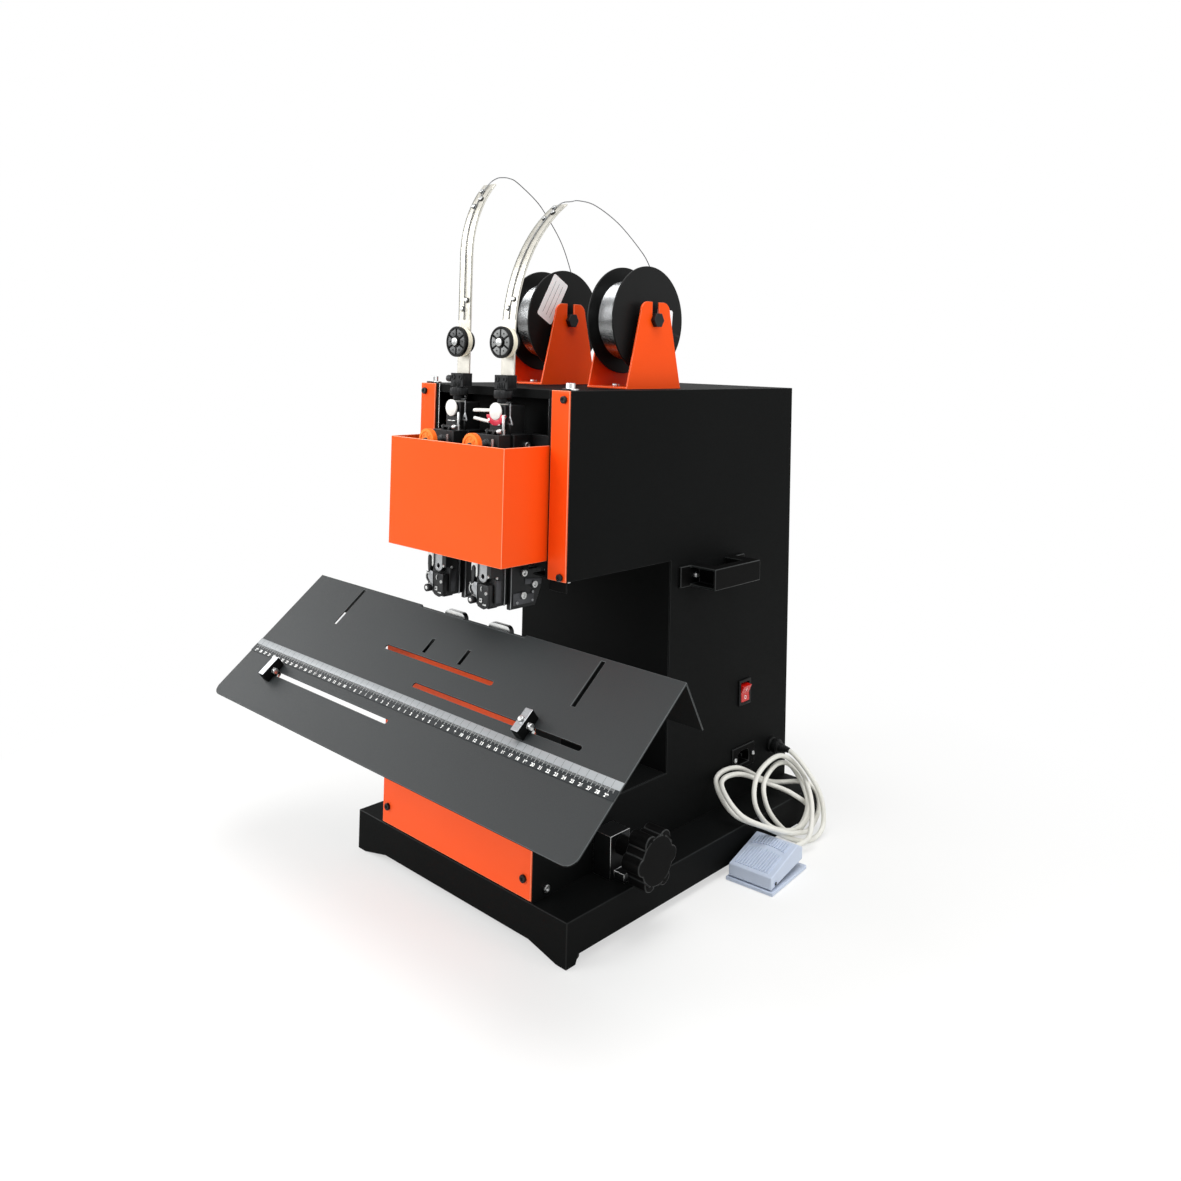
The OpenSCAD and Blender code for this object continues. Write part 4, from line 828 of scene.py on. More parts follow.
# %% ruler numbers
NUMBER_S, NUMBER_SIZE, NUMBER_BOLD, NUMBER_RISE = -125.6, 4.7, 0.13, 0.03
words = []
for n in range(-29, 30):
    data = bpy.data.curves.new("number", "FONT")
    data.body = str(abs(n))
    data.size = NUMBER_SIZE * MM
    data.offset = NUMBER_BOLD * MM
    data.extrude = NUMBER_RISE * MM
    data.align_x = "CENTER"
    number = bpy.data.objects.new("number", data)
    bpy.context.scene.collection.objects.link(number)
    words.append((n, number))
graph = bpy.context.evaluated_depsgraph_get()
for n, number in words:
    mesh = bpy.data.meshes.new_from_object(number.evaluated_get(graph))
    part = bmesh.new()
    part.from_mesh(mesh)
    bmesh.ops.remove_doubles(part, verts=part.verts, dist=0.001 * MM)
    join(bm, part, SLOPE @ at(10 * n, NUMBER_S, RULER_T + NUMBER_RISE), NUMBERS)
    bpy.data.meshes.remove(mesh)
    bpy.data.objects.remove(number)
ruler = finish_piece("ruler_strip.printed", bm, "carriage", [aluminium, ruler_band, white_print, tick_print],
                     ("ruler_strip",))
print("ruler faces", len(ruler.data.polygons))

# %% [markdown]
# Each guide roller has a spoked face on a cream nylon body, and turns on a bright axle.
# The face could be cut from a disc, but it is easier to build up: a turned ring, with six raised pads
# set between hub and rim and a small dark stud on each.

# %% guide rollers
HEAD_X, ROLLER_Z, ROLLER_Y = 37.5, 615.0, -156.0
ROLLER_FACE = [(2.6, 0.6), (6, 0.6), (6.4, 1.7), (14.6, 1.7), (14.8, 0.3), (15.2, 0), (17.0, 0), (17.5, 0.5),
               (17.5, 4.2), (17.0, 4.7), (2.6, 4.7), (2.6, 0.6)]
ROLLER_BODY = [(2.6, 4.7), (16.4, 4.7), (16.7, 5.0), (16.7, 6.4), (15.8, 7.2), (15.8, 8.8), (16.7, 9.6),
               (16.7, 11.2), (16.4, 11.5), (2.6, 11.5), (2.6, 4.7)]
STUD_R = 10.8
for side, name, pad in ((-1, "left", roller_grey), (1, "right", roller_pale)):
    bm = bmesh.new()
    spot = at(side * HEAD_X, ROLLER_Y, ROLLER_Z, BACK)
    turned(bm, ROLLER_FACE, spot, 0, 64)
    turned(bm, ROLLER_BODY, spot, 1, 64)
    for i in range(6):
        sector = circle(14.4, 5, 60 * i - 25, 60 * i + 25) + circle(6.9, 4, 60 * i + 20, 60 * i - 20)
        plate(bm, sector, 1.3, spot @ at(0, 0, 0.5), 2, 0.25)
        q = math.radians(60 * i)
        plate(bm, circle(0.9, 12), 0.4, spot @ at(STUD_R * math.cos(q), STUD_R * math.sin(q), 0.15), 0, 0.1)
    finish_piece(name + "_roller.turned", bm, name + "_roller_body", [black_plastic, cream_nylon, pad],
                 (name + "_roller",))
print("rollers turned")

# %% [markdown]
# The feed wheels behind the tray are orange nylon with a sunk face and eight small studs.
# The whole wheel is one profile on the lathe. Its front faces then get a lighter orange.

# %% feed wheels
FEED_Y, FEED_Z = -195.4, 504.0
WHEEL = [(3.05, 0.2), (5.4, 0.2), (5.6, 0.9), (9.6, 0.9), (10.0, 0.1), (12.7, 0.1), (13.2, 0.6), (13.2, 5.9),
         (12.7, 6.4), (3.05, 6.4), (3.05, 0.2)]
WHEEL_STUD = [(0, 0.2), (1.0, 0.2), (1.3, 0.5), (1.3, 1.0), (0, 1.0)]
WHEEL_STUD_R = 7.6


def feed_wheel(side, name):
    bm = bmesh.new()
    spot = at(side * HEAD_X, FEED_Y, FEED_Z, BACK)
    turned(bm, WHEEL, spot, 0, 64)
    for i in range(8):
        q = math.radians(45 * i)
        turned(bm, WHEEL_STUD, spot @ at(WHEEL_STUD_R * math.cos(q), WHEEL_STUD_R * math.sin(q), 0), 1, 12)
    for face in bm.faces:
        if face.normal.y < -0.9:
            face.material_index = 1
    finish_piece(name + "_feed_wheel.turned", bm, name + "_wheel", [orange_plastic, pale_orange],
                 (name + "_feed_wheel",))


print("feed wheel helper ready")

# %% [markdown]
# The head knobs are knurled steel on a narrower barrel, with a white nylon ring under it.
# A knurl could be a bump, but it shows against the light, so the rim is a plate with 72 points,
# every other one set back.

# %% feed wheels and head knobs
POST_Y, KNOB_Z = -149.0, 546.5
BARREL = [(4.05, 1.6), (6.6, 1.6), (6.8, 1.9), (6.8, 3.2), (6.3, 3.5), (6.3, 4.1), (6.8, 4.4), (6.8, 5.4),
          (6.3, 5.7), (6.3, 7.4), (4.05, 7.4), (4.05, 1.6)]
RIM_FOOT = [(4.05, 7.0), (9.4, 7.0), (10.0, 8.2), (4.05, 8.2), (4.05, 7.0)]
RIM_CROWN = [(4.05, 15.2), (8.6, 15.2), (8.0, 16.0), (4.05, 16.0), (4.05, 15.2)]
NYLON_RING = [(4.05, 0), (6.0, 0), (6.0, 1.6), (4.05, 1.6), (4.05, 0)]


def head_knob(side, name):
    bm = bmesh.new()
    spot = at(side * HEAD_X, POST_Y, KNOB_Z)
    turned(bm, BARREL, spot, 0, 40)
    plate(bm, circle(10.5, 72, dent=0.6), 7.4, spot @ at(0, 0, 8.0), 0, 0.25)
    turned(bm, RIM_FOOT, spot, 0, 40)
    turned(bm, RIM_CROWN, spot, 0, 40)
    turned(bm, NYLON_RING, spot, 1, 40)
    finish_piece(name + "_head_knob.knurled", bm, name + "_knob", [black_oxide, white_nylon],
                 (name + "_head_knob",))


for side, name in ((-1, "left"), (1, "right")):
    feed_wheel(side, name)
    head_knob(side, name)
print("wheels and knobs turned")

# %% [markdown]
# Each head has a white cap on its front. The right one also has a white two-pronged fork, with a red
# collar round the cap. Caps and prongs are turned, and the collar is a crescent cut from a plate:
# two arcs, one out and one back, make its outline.

# %% caps, fork and collar
CAP_Y, CAP_Z, COLLAR_Y = -161.0, 539.5, -157.2
CAP = [(0, 4), (8.6, 4), (9.3, 3.6), (9.5, 3.0), (9.5, 2.2), (9.2, 1.8), (4, 1.8), (4, 0), (0, 0)]
PEG = [(0, 3.6), (1.6, 3.4), (2.2, 2.6), (2.2, 0), (0, 0)]
PRONG_R = 1.9


def prong(bm, a, b, r):
    along = Vector(b) - Vector(a)
    profile = [(0, 0), (0.6 * r, 0.1 * r), (r, 0.6 * r), (r, along.length), (0, along.length)]
    turned(bm, profile, at(*a, tuple(along)), 0, 20)


bm = bmesh.new()
for side in (-1, 1):
    turned(bm, CAP, at(side * HEAD_X, CAP_Y + 4, CAP_Z, FRONT), 0, 48)
prong(bm, (0.5, -159.4, 539.0), (31, -159.4, 540.3), PRONG_R)
prong(bm, (1.5, -159.4, 530.6), (27.5, -159.4, 527.8), PRONG_R)
finish_piece("head_caps.turned", bm, "machine", [white_nylon], ("head_caps",))
bm = bmesh.new()
crescent = circle(15.6, 14, 196, 344) + circle(9.7, 10, 340, 200)
plate(bm, crescent, 3.2, at(HEAD_X, COLLAR_Y, CAP_Z, FRONT), 0, 0.5)
for dx, dz in ((-10, -9.4), (12.2, -5.6)):
    turned(bm, PEG, at(HEAD_X + dx, COLLAR_Y, CAP_Z + dz, FRONT), 1, 16)
finish_piece("fork_collar", bm, "machine", [pink_plastic, white_nylon])
print("caps made")

# %% [markdown]
# The top of each head carries a bright spring pin, and a small cross shaft with a ball end in two bearings.
# Beside the neck a pointed finger stands under a thin rod.
# These are functions of the head's place, so that both heads get the same fittings.

# %% shaft and finger on a head
BRIGHT, DARK, GROUND = range(3)
SHAFT_Y, SHAFT_Z = -167.5, 518.4
PIN = [(0, 20.5), (1.2, 20.2), (1.6, 19.4), (1.6, 6), (2.4, 5.6), (2.4, 0), (0, 0)]
SHAFT = [(0, 0), (2.2, 0), (2.5, 0.4), (2.5, 3), (1.8, 3.4), (1.8, 17), (0, 17)]
BALL = [(0, 0), (1.8, 0.3), (2.9, 1.4), (3.2, 3.0), (2.9, 4.6), (1.8, 5.8), (0, 6.2)]
SHAFT_END = [(0, 0.8), (1.9, 0.6), (2.2, 0), (0, 0)]
FINGER = [(-4.6, 0), (4.6, 0), (4.0, 2.0), (0.8, 9.4), (-0.8, 9.4), (-4.0, 2.0)]
FINGER_X = 16.4


def cross_shaft(bm, x):
    turned(bm, PIN, at(x + 14, -160.5, 515), BRIGHT, 20)
    turned(bm, SHAFT, at(x - 5, SHAFT_Y, SHAFT_Z, RIGHT), DARK, 24)
    turned(bm, BALL, at(x + 12, SHAFT_Y, SHAFT_Z, RIGHT), BRIGHT, 24)
    turned(bm, SHAFT_END, at(x - 5, SHAFT_Y, SHAFT_Z, LEFT), BRIGHT, 20)
    for dx in (-2, 9):
        block(bm, (3, 6, 3.4), at(x + dx, SHAFT_Y, 514.8), DARK, 0.3)


def pointed_finger(bm, x):
    plate(bm, FINGER, 1.6, at(x + FINGER_X, -152.4, 525.4, FRONT), GROUND, 0.3)
    turned(bm, [(0, 0.4), (1.5, 0.4), (1.5, 0), (0, 0)], at(x + FINGER_X, -154.0, 528.4, FRONT), DARK, 14)
    turned(bm, [(0, 0), (0.9, 0), (0.9, 16), (0, 16)], at(x + FINGER_X, -153.2, 534), GROUND, 14)
    block(bm, (3.2, 1.6, 11.4), at(x + FINGER_X, -153.2, 514.8), DARK, 0.2)
    block(bm, (7, 3, 2), at(x + 14, -153.2, 548.5), DARK, 0.3)


print("shaft and finger helpers ready")

# %% [markdown]
# A push rod runs down the head's front, over a feed plate with three small screws, and a clip plate sits
# on the neck. Higher up, the block that clamps the wire has sunk screws and ribs on its front, and ribs
# on its right. The left head's block also has a small knurled knob on its left.

# %% head top fittings
CLAMP_Y, CLAMP_KNOB_Y, CLAMP_KNOB_Z = -152.9, -149.5, 572.5
FEED_PLATE = [(-17, 0), (17, 0), (17, 26), (9, 31), (-17, 31)]
SUNK_SCREW = [(0, 0.3), (1.6, 0.3), (1.8, 1.1), (2.9, 1.1), (3.2, 0.8), (3.2, 0), (0, 0)]


def rod_and_plates(bm, x):
    turned(bm, [(0, 0), (1.5, 0), (1.5, 20), (0, 20)], at(x + 13.5, -175.6, 491), BRIGHT, 16)
    block(bm, (12.5, 3.4, 1.1), at(x + 1, -158.6, 524.4), BRIGHT, 0.2)
    plate(bm, FEED_PLATE, 2.2, at(x, -171.8, 476, FRONT), DARK, 0.4)
    for dx, z in ((-12, 482), (12, 482), (-12, 500)):
        screw_head(bm, at(x + dx, -174.0, z, FRONT), 4.5, 1.6, BRIGHT)


def clamp_ribs(bm, x):
    for dx in (-6.2, 6.2):
        turned(bm, SUNK_SCREW, at(x + dx, CLAMP_Y, 574.4, FRONT), DARK, 24)
    for i in range(5):
        block(bm, (1.1, 6.2, 0.8), at(x - 5.2 + 2.6 * i, CLAMP_Y, 567.2, FRONT), DARK, 0.2)
    for i in range(6):
        block(bm, (0.9, 12.6, 0.6), at(x + 10.4, -151 + 2 * i, 571.2, RIGHT), DARK, 0.15)


def clamp_side_knob(bm, x):
    plate(bm, circle(4, 24, dent=0.4), 8, at(x - 11.6, CLAMP_KNOB_Y, CLAMP_KNOB_Z, LEFT), DARK, 0.2)
    stem = [(0, 0), (2.4, 0), (2.4, 1.4), (0, 1.4)]
    turned(bm, stem, at(x - 10.4, CLAMP_KNOB_Y, CLAMP_KNOB_Z, LEFT), BRIGHT, 20)


for side, name in ((-1, "left"), (1, "right")):
    bm = bmesh.new()
    x = side * HEAD_X
    cross_shaft(bm, x)
    pointed_finger(bm, x)
    rod_and_plates(bm, x)
    clamp_ribs(bm, x)
    if side < 0:
        clamp_side_knob(bm, x)
    finish_piece(name + "_head_fittings", bm, "machine", [zinc, black_oxide, ground_steel])
print("head tops fitted")

# %% [markdown]
# Below the tray the heads show their working end.
# The grey driver slides behind a black gib, and a bright hook plate and a dark finger sit on the left.
# Their outlines are cut from plates, on blocks that reach back to the head.
# All of it stays clear of the driver's stroke.

# %% gib, hook and finger
IRON, PLATED, GROUND, WORN, DULL = range(5)
HEAD_FACE_Y, GIB_Y, GIB_FACE_Y = -171.9, -178.4, -181.0
GIB = [(-10.5, 345), (0, 344), (0.3, 334.5), (6, 331), (12, 330), (16, 332), (18.5, 334), (18.5, 356),
       (-8, 356), (-10.5, 352)]
HOOK = [(-10.6, 382), (-0.6, 382), (-0.6, 364), (-2.0, 361.6), (-3.6, 363), (-3.6, 371.6), (-5, 374.2),
        (-8, 374.2), (-9.4, 372), (-9.4, 368), (-10.6, 368)]
WIRE_FINGER = [(-9.2, 372.6), (-5, 373), (-4.2, 366), (-5.2, 357.5), (-7, 354.5), (-8.6, 357), (-9.4, 364)]


def gib_and_hook(bm, x):
    plate(bm, GIB, 2.6, at(x, GIB_Y, 0, FRONT), IRON, 0.4)
    block(bm, (5.3, 22, 6.6), at(x + 15.85, HEAD_FACE_Y, 345, FRONT), IRON, 0.3)
    block(bm, (6.6, 7.5, 6.6), at(x - 4.6, HEAD_FACE_Y, 348.5, FRONT), IRON, 0.3)
    plate(bm, HOOK, 1.4, at(x, -178.3, 0, FRONT), PLATED, 0.25)
    block(bm, (9, 5, 6.6), at(x - 5.6, HEAD_FACE_Y, 378.5, FRONT), IRON, 0.3)
    plate(bm, WIRE_FINGER, 5, at(x, -175.5, 0, FRONT), IRON, 0.4)
    turned(bm, [(0, 4), (2.2, 4), (2.2, 0), (0, 0)], at(x - 7, HEAD_FACE_Y, 366, FRONT), IRON, 20)


print("gib helper ready")

# %% [markdown]
# On the gib's face lie a steel wedge, three bright curls and a small square block with a dark dot; the curl
# right of the wedge is a painted highlight.
# A curl is a part of a ring: one arc out and a smaller one back.
# A spring plunger leans forwards and down. It is turned in one profile, with two dark rings in its grooves.

# %% wedge, curls and plunger
WEDGE = [(-6.8, 353.5), (-2.2, 357.4), (1.6, 357), (2, 340), (0.8, 341), (-7, 349.5)]
# the third arc, right of the wedge, is a painted highlight: a thin zinc arc where the dark iron shows a
# curved highlight
CURLS_AND_HIGHLIGHT = ((-4.6, 350, 6.4, 135, 235), (-7, 356.4, 3.2, 190, 330), (11, 351.6, 3.6, 125, 235))
CURL_WIDTH = 1.1
PLUNGER = [(0, 0), (3.3, 0), (3.3, 6), (3.9, 6.4), (3.9, 8), (3.2, 8.4), (3.2, 9.2), (3.9, 9.6), (3.9, 11.2),
           (3.2, 11.6), (3.2, 12.4), (3.9, 12.8), (3.9, 13.6), (2.9, 14.2), (2.9, 15.0), (2.5, 15.6),
           (1.5, 16.1), (0, 16.3)]
PLUNGER_RING = [(3.1, 0), (3.5, 0), (3.5, 0.6), (3.1, 0.6), (3.1, 0)]
PLUNGER_LEAN = (0, -0.94, -0.342)


def wedge_and_curls(bm, x):
    plate(bm, WEDGE, 0.9, at(x, GIB_FACE_Y, 0, FRONT), GROUND, 0.2)
    for dx, z, r, a0, a1 in CURLS_AND_HIGHLIGHT:
        curl = circle(r, 8, a0, a1) + circle(r - CURL_WIDTH, 8, a1, a0)
        plate(bm, curl, 1.1, at(x + dx, -180.9, z, FRONT), PLATED, 0.2)
    block(bm, (4.4, 4.4, 1.0), at(x + 7.9, GIB_FACE_Y, 339.2, FRONT), PLATED, 0.3)
    turned(bm, [(0, 0.4), (0.9, 0.4), (0.9, 0), (0, 0)], at(x + 7.9, -182.0, 339.2, FRONT), IRON, 14)


def plunger_and_screws(bm, x):
    lean = at(x - 5.4, -170.0, 342.4, PLUNGER_LEAN)
    turned(bm, PLUNGER, lean, DULL, 28)
    for h in (8.5, 11.7):
        turned(bm, PLUNGER_RING, lean @ at(0, 0, h), IRON, 28)
    for dx, y, z, size in ((15.6, -177.7, 364.5, 3.4), (16, GIB_FACE_Y, 347.6, 4.0)):
        screw_head(bm, at(x + dx, y, z, FRONT), size, 1.2, PLATED)
    block(bm, (5.4, 1.5, 0.8), at(x + 13.8, GIB_FACE_Y, 335.2, FRONT), PLATED, 0.2)


print("wedge and plunger helpers ready")

# %% [markdown]
# Down the head's right side run flanges and a thin bright bar, with one pin.
# The side plate beside them has a stepped cheek, a slanted bar, a thin rib and three small screws.
# They stand only a little proud, but they break up a side that would look empty.

# %% head bottoms
SIDE_X, CHEEK_X = 18.9, 24
SIDE_PIN = [(0, 1.6), (1.2, 1.4), (1.7, 0.8), (1.7, 0), (0, 0)]
CHEEK = [(0, 0), (31, 0), (31, 10), (20, 10), (18, 13), (0, 13)]
SLANTED_BAR = [(0, 0), (25, -3), (25, 3.4), (0, 6.4)]


def side_flanges(bm, x):
    block(bm, (7.6, 24, 1.6), at(x + SIDE_X, -167.6, 348, RIGHT), WORN, 0.3)
    block(bm, (0.9, 46, 2.2), at(x + SIDE_X, -158.8, 355, RIGHT), GROUND, 0.2)
    block(bm, (1.6, 26, 2.4), at(x + SIDE_X, -172.2, 349, RIGHT), IRON, 0.3)
    turned(bm, SIDE_PIN, at(x + SIDE_X, -169.5, 362.6, RIGHT), PLATED, 18)
    plate(bm, CHEEK, 0.9, at(x + CHEEK_X, -150, 331, RIGHT), WORN, 0.3)
    plate(bm, SLANTED_BAR, 0.8, at(x + CHEEK_X, -132.5, 352, RIGHT), WORN, 0.3)
    block(bm, (0.7, 44, 1.2), at(x + CHEEK_X, -153.4, 350, RIGHT), GROUND, 0.2)
    for y, z, size in ((-144, 333.5, 3.4), (-120.8, 342.5, 3.0), (-121.2, 333.5, 3.0)):
        screw_head(bm, at(x + CHEEK_X + 0.8, y, z, RIGHT), size, 1.0, GROUND)


for side, name in ((-1, "left"), (1, "right")):
    bm = bmesh.new()
    x = side * HEAD_X
    gib_and_hook(bm, x)
    wedge_and_curls(bm, x)
    plunger_and_screws(bm, x)
    side_flanges(bm, x)
    finish_piece(name + "_head_front", bm, "machine", [dark_iron, zinc, ground_steel, worn_iron, dull_zinc])
print("head bottoms fitted")

# %% [markdown]
# The wire guides are strips with rolled edges, straight below and bent back above, and small dark-sided
# screws hold them. One function finds the place and direction of a point along the bend, so that screws
# and edges follow it. The edges are round tubes, which is how a rolled edge looks.

# %% guide strip details
STRIP_Y, STRIP_FACE, LIP_U, LIP_D = -143.0, 0.9, 9.9, 1.1
STRIP_BENDS = {-1: (715.0, 128.5), 1: (625.0, 187.5)}
SCREW_SIDE = [(0, 0.0), (3.1, 0.0), (3.1, 1.6), (2.7, 2.0), (0, 2.0)]
SCREW_TOP = [(0, 2.0), (2.6, 2.0), (2.3, 2.9), (1.2, 3.4), (0, 3.4)]
LOW_SCREWS = ((663, 4), (653, -3))
LIP_START, LIP_STEPS = 640, 24


def strip_point(side, path, u, lift):
    z0, r = STRIP_BENDS[side]
    q = max(0.0, (path - z0) / r)
    z = min(path, z0) + (r + lift) * math.sin(q)
    return (side * HEAD_X + u, STRIP_Y + r - (r + lift) * math.cos(q), z), (0, -math.cos(q), math.sin(q))


for side, name, high_screws, lip_end in ((-1, "left", ((797, -3.4), (785, 3.4), (775, -3.4)), 800),
                                         (1, "right", ((793, -3.4), (782, 3.4), (772, -3.4)), 795)):
    bm = bmesh.new()
    for path, u in LOW_SCREWS + high_screws:
        place, out = strip_point(side, path, u, STRIP_FACE)
        turned(bm, SCREW_SIDE, at(*place, out), 1, 24)
        turned(bm, SCREW_TOP, at(*place, out), 0, 24)
    finish_piece(name + "_guide_screws", bm, "machine", [zinc, black_oxide])
    paths = [LIP_START + (lip_end - LIP_START) * i / LIP_STEPS for i in range(LIP_STEPS + 1)]
    for u, ending in ((-LIP_U, "_rolled_edge_a"), (LIP_U, "_rolled_edge_b")):
        line = [Vector(strip_point(side, path, u, STRIP_FACE)[0]) for path in paths]
        lip = round_tube(name + ending, line, LIP_D, 2)
        lip.data.materials.append(rolled_edge)
        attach(lip, "machine")
print("guide strips finished")

# %% [markdown]
# Each spool has a blank paper label on its side, with three ruled lines.
# A label could be painted on the spool, but a thin plate with round corners keeps a clean edge.
# The labels turn with their spools.

# %% spool labels
LABEL_L, LABEL_W, LABEL_T, LABEL_CORNER = 60, 29, 0.2, 3
LINE_LONG, LINE_WIDE, LINE_T, LINE_GAP = 46, 0.5, 0.03, 7
bm = bmesh.new()
spot = at(-49.4, 11.5, 673, RIGHT) @ Matrix.Rotation(math.radians(60.2), 4, "Z")
plate(bm, rounded(LABEL_L, LABEL_W, LABEL_CORNER), LABEL_T, spot, 0, 0)
for i in (-1, 0, 1):
    block(bm, (LINE_LONG, LINE_WIDE, LINE_T), spot @ at(0, LINE_GAP * i, LABEL_T), 1, 0)
finish_piece("left_spool_label", bm, "left_reel", [label_paper, ruler_band])
bm = bmesh.new()
spot = at(90.6, 63.5, 631, RIGHT) @ Matrix.Rotation(math.radians(-4), 4, "Z")
plate(bm, rounded(LABEL_W, LABEL_L, LABEL_CORNER), LABEL_T, spot, 0, 0)
for i in (-1, 0, 1):
    block(bm, (LINE_WIDE, LINE_LONG, LINE_T), spot @ at(LINE_GAP * i, 0, LABEL_T), 1, 0)
finish_piece("right_spool_label", bm, "right_reel", [label_paper, ruler_band])
print("labels stuck on")

# %% [markdown]
# The pedal's tread is ribbed lengthwise in two fields, with a smooth curved band between them.
# Ribs could be a bump, but they show along the pedal's outline, so each one is a small rounded bar.
# They lie on the sloping top and move with it.

# %% pedal tread
TREAD_RISE, TREAD_RUN, TREAD_HALF = 14, 66, 22
TREAD = PEDAL @ at(0, 2, 19) @ Matrix.Rotation(math.atan2(TREAD_RISE, TREAD_RUN), 4, "X")
RIBS, RIB_GAP, RIB_WIDE, RIB_HIGH = 13, 3.4, 1.9, 1.6
FIRST_RIB, RIB_START, RIB_END = -21.5, 5.5, 64.5
BAND_START, BAND_BOW, BAND_WIDE = 38, 5, 7
bm = bmesh.new()
for i in range(RIBS):
    x = FIRST_RIB + RIB_GAP * i
    bend = BAND_START + BAND_BOW * math.sin((x + TREAD_HALF) / (2 * TREAD_HALF) * math.pi)
    for low, high in ((RIB_START, bend), (bend + BAND_WIDE, RIB_END)):
        block(bm, (RIB_WIDE, high - low, RIB_HIGH), TREAD @ at(x, (low + high) / 2, -0.2), 0, 0.5)
finish_piece("pedal_ribs", bm, "treadle", [pedal_plastic])
print("tread ribbed")

# %% [markdown]
# Where the cord leaves the socket, and where it enters the pedal, a tapered sleeve takes the strain.
# The sleeves follow the cord's own path, so a straight cone won't do.
# A ring is set on each point of the path, and neighbouring rings are bridged.

# %% strain reliefs
SLEEVE_SIDES, SOCKET_RINGS, PEDAL_RINGS, GROOVE = 24, 20, 14, 0.4


def sleeve(name, path, radii, material):
    bm = bmesh.new()
    before = []
    for i, p in enumerate(path):
        ahead = path[min(i + 1, len(path) - 1)] - path[max(i - 1, 0)]
        made = bmesh.ops.create_circle(bm, segments=SLEEVE_SIDES, radius=radii[i] * MM,
                                       matrix=at(*p, tuple(ahead)))
        ring = set(made["verts"])
        edges = [e for e in bm.edges if ring.issuperset(e.verts)]
        if before:
            bmesh.ops.bridge_loops(bm, edges=before + edges)
        before = edges
    bmesh.ops.holes_fill(bm, edges=[e for e in bm.edges if e.is_boundary])
    bmesh.ops.recalc_face_normals(bm, faces=bm.faces)
    finish_piece(name, bm, "machine", [material])


first = smooth_path(CORD_POINTS[:4], 24)[:SOCKET_RINGS]
taper = [5.2 - 1.8 * i / (SOCKET_RINGS - 1) for i in range(SOCKET_RINGS)]
socket_radii = [r - (GROOVE if i > 3 and i % 4 in (2, 3) else 0) for i, r in enumerate(taper)]
sleeve("socket_strain_relief", first, socket_radii, black_plastic)
last = smooth_path(CORD_POINTS[-4:], 16)[-PEDAL_RINGS:]
pedal_radii = [3.3 + 1.2 * i / (PEDAL_RINGS - 1) for i in range(PEDAL_RINGS)]
sleeve("pedal_strain_relief", last, pedal_radii, cord_pvc)
print("strain reliefs made")

# %% [markdown]
# The last fittings are small: screws inside the handles' ends and on the back, two marks on the switch, and
# a knurled ring on the pedal socket.
# The marks could be paint, but they are thin shapes, so that they tilt with the rocker they lie on.

# %% side and back fittings
HANDLE_X, HANDLE_Z, REAR_Y = 129, 343, 301.9
UPPER_FACE, LOWER_FACE = (0.918, 0, -0.397), (0.998, 0, 0.059)
SWITCH_Y, SOCKET_Y, SOCKET_Z = 200, 265, 94
bm = bmesh.new()
for side, out in ((-1, LEFT), (1, RIGHT)):
    for y in (86, 162):
        screw_head(bm, at(side * HANDLE_X, y, HANDLE_Z, out), 8.5, 4.5, 1)
for xs, zs in (((-114, 114), (62, 180, 300, 420, 552)), ((-60, 60), (62, 552))):
    for x in xs:
        for z in zs:
            screw_head(bm, at(x, REAR_Y, z, BACK), 8, 1.2, 0)
finish_piece("housing_screws", bm, "machine", [black_oxide, zinc])
bm = bmesh.new()
block(bm, (1.0, 4.6, 0.08), at(129.55, SWITCH_Y, 181.6, UPPER_FACE), 0, 0)
ring_mark = [(1.5, 0), (1.5, 0.08), (2.3, 0.08), (2.3, 0), (1.5, 0)]
turned(bm, ring_mark, at(127.72, SWITCH_Y, 171.1, LOWER_FACE), 0, 32)
finish_piece("switch_marks", bm, "rocker", [white_print])
bm = bmesh.new()
plate(bm, circle(9.2, 48, dent=0.5), 6.5, at(130, SOCKET_Y, SOCKET_Z, RIGHT), 0, 0.2)
washer = [(6, 0), (9.4, 0), (9.6, 0.3), (9.6, 1.0), (6, 1.0), (6, 0)]
turned(bm, washer, at(136.6, SOCKET_Y, SOCKET_Z, RIGHT), 1, 40)
finish_piece("socket_ring", bm, "machine", [black_plastic, black_oxide])
print("side fittings made")

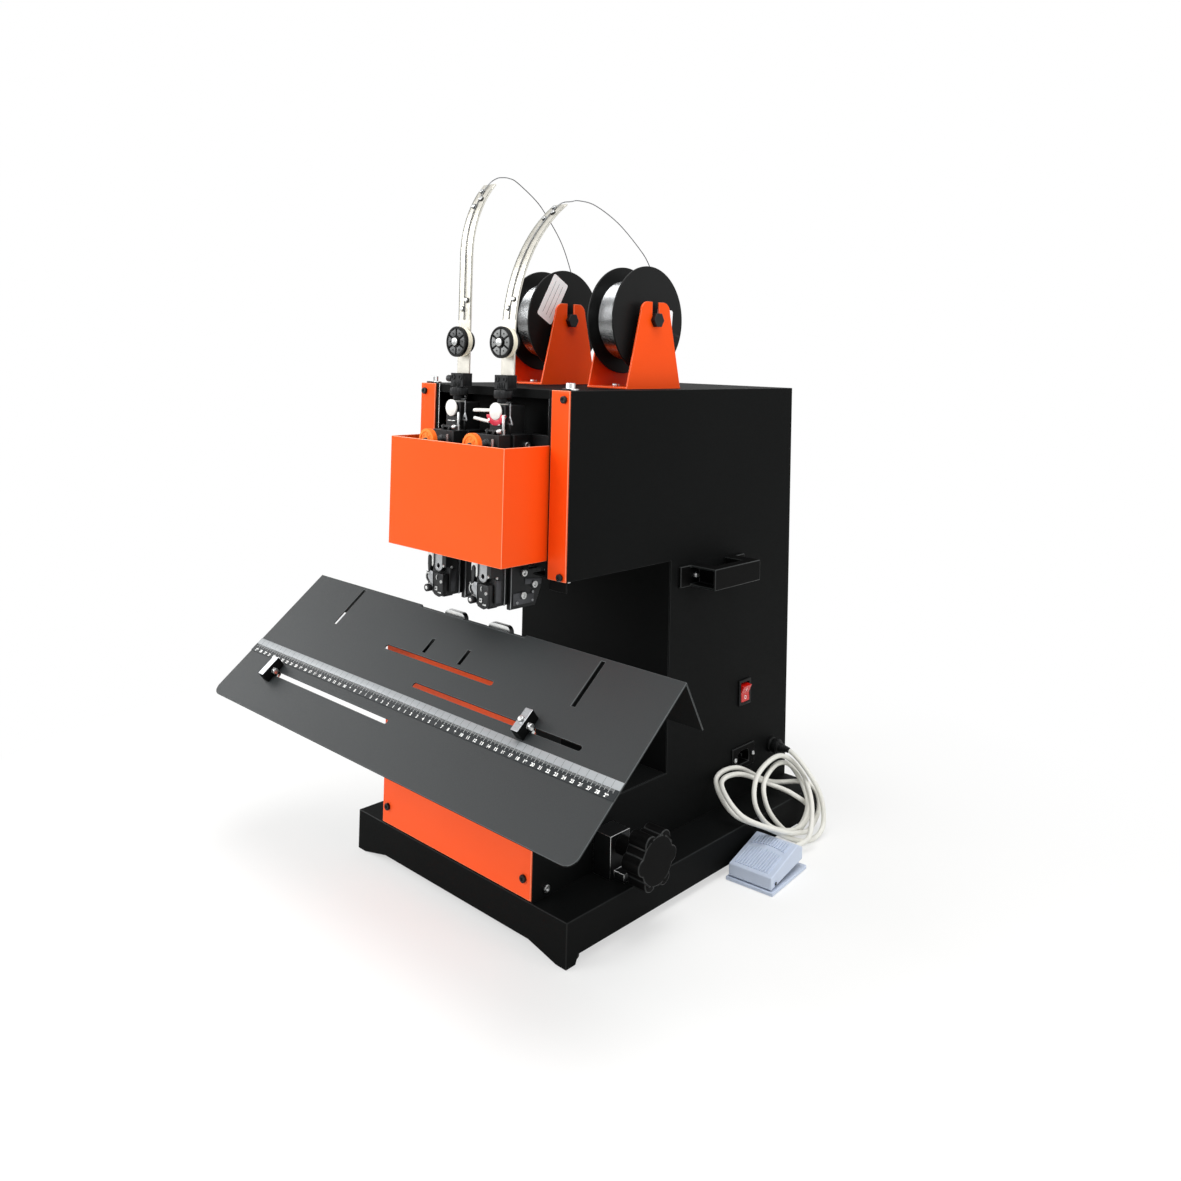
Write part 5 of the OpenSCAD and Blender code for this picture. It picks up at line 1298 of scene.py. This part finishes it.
# %% [markdown]
# The stitching wire leaves each winding, arches over and lies down on its guide strip.
# A straight line would cut through the strip's bend, so the route first follows the bend, then rises in a
# free arch and comes down to touch the winding. It goes through the same points as the CAD wire.

# %% feed wires
WIRE_OFF, FEED_D, TOUCH_R = 1.8, 1.2, 48.6


def on_strip(side, a0, a1, count):
    z0, r = STRIP_BENDS[side]
    reach = r + WIRE_OFF
    turns = [math.radians(a0 + (a1 - a0) * i / count) for i in range(count + 1)]
    return [(side * HEAD_X, STRIP_Y + r - reach * math.cos(q), z0 + reach * math.sin(q)) for q in turns]


def arch(tip, rises, falls, x, angle):
    y, z = tip
    q = math.radians(angle)
    route = [(px, y + dy, z + dz) for px, dy, dz in rises]
    route += [(px, SPOOL_Y + dy, SPOOL_Z + dz) for px, dy, dz in falls]
    return route + [(x, SPOOL_Y + TOUCH_R * math.sin(q), SPOOL_Z + TOUCH_R * math.cos(q))]


left_rises = ((-39.9, 12.3, 9.7), (-42.3, 24.5, 12.8), (-44.8, 37.1, 13.8), (-48, 53.4, 11.3))
left_falls = ((-55.7, -51.5, 149.6), (-60.6, -26.7, 133.3), (-66, 6, 103.5), (-69.3, 27, 72), (-70, 38.5, 43))
left_route = [(-HEAD_X, STRIP_Y - WIRE_OFF, 640.5)] + on_strip(-1, 0, 42, 5)
left_route += arch((-109.994, 800.983), left_rises, left_falls, -SPOOL_X, 67)
right_rises = ((41, 13.3, 5.5), (43.8, 23.8, 7.5), (49.7, 45.6, 4))
right_falls = ((58.2, -22.6, 115.8), (66.2, 7.3, 88.3), (69.6, 22, 70.4), (70, 34.5, 47))
right_route = on_strip(1, 4.742, 53.9, 6)
right_route += arch((-65.974, 776.498), right_rises, right_falls, SPOOL_X, 66)
for name, route in (("left_feed_wire", left_route), ("right_feed_wire", right_route)):
    wire = round_tube(name, smooth_path(route, 8), FEED_D, 2)
    wire.data.materials.append(feed_steel)
    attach(wire, "machine")
    if name == "left_feed_wire":
        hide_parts("feed_wires")
print("feed wires drawn")

# %% [markdown]
# Blender adds looks, not size.

# %% end
print("scene built")
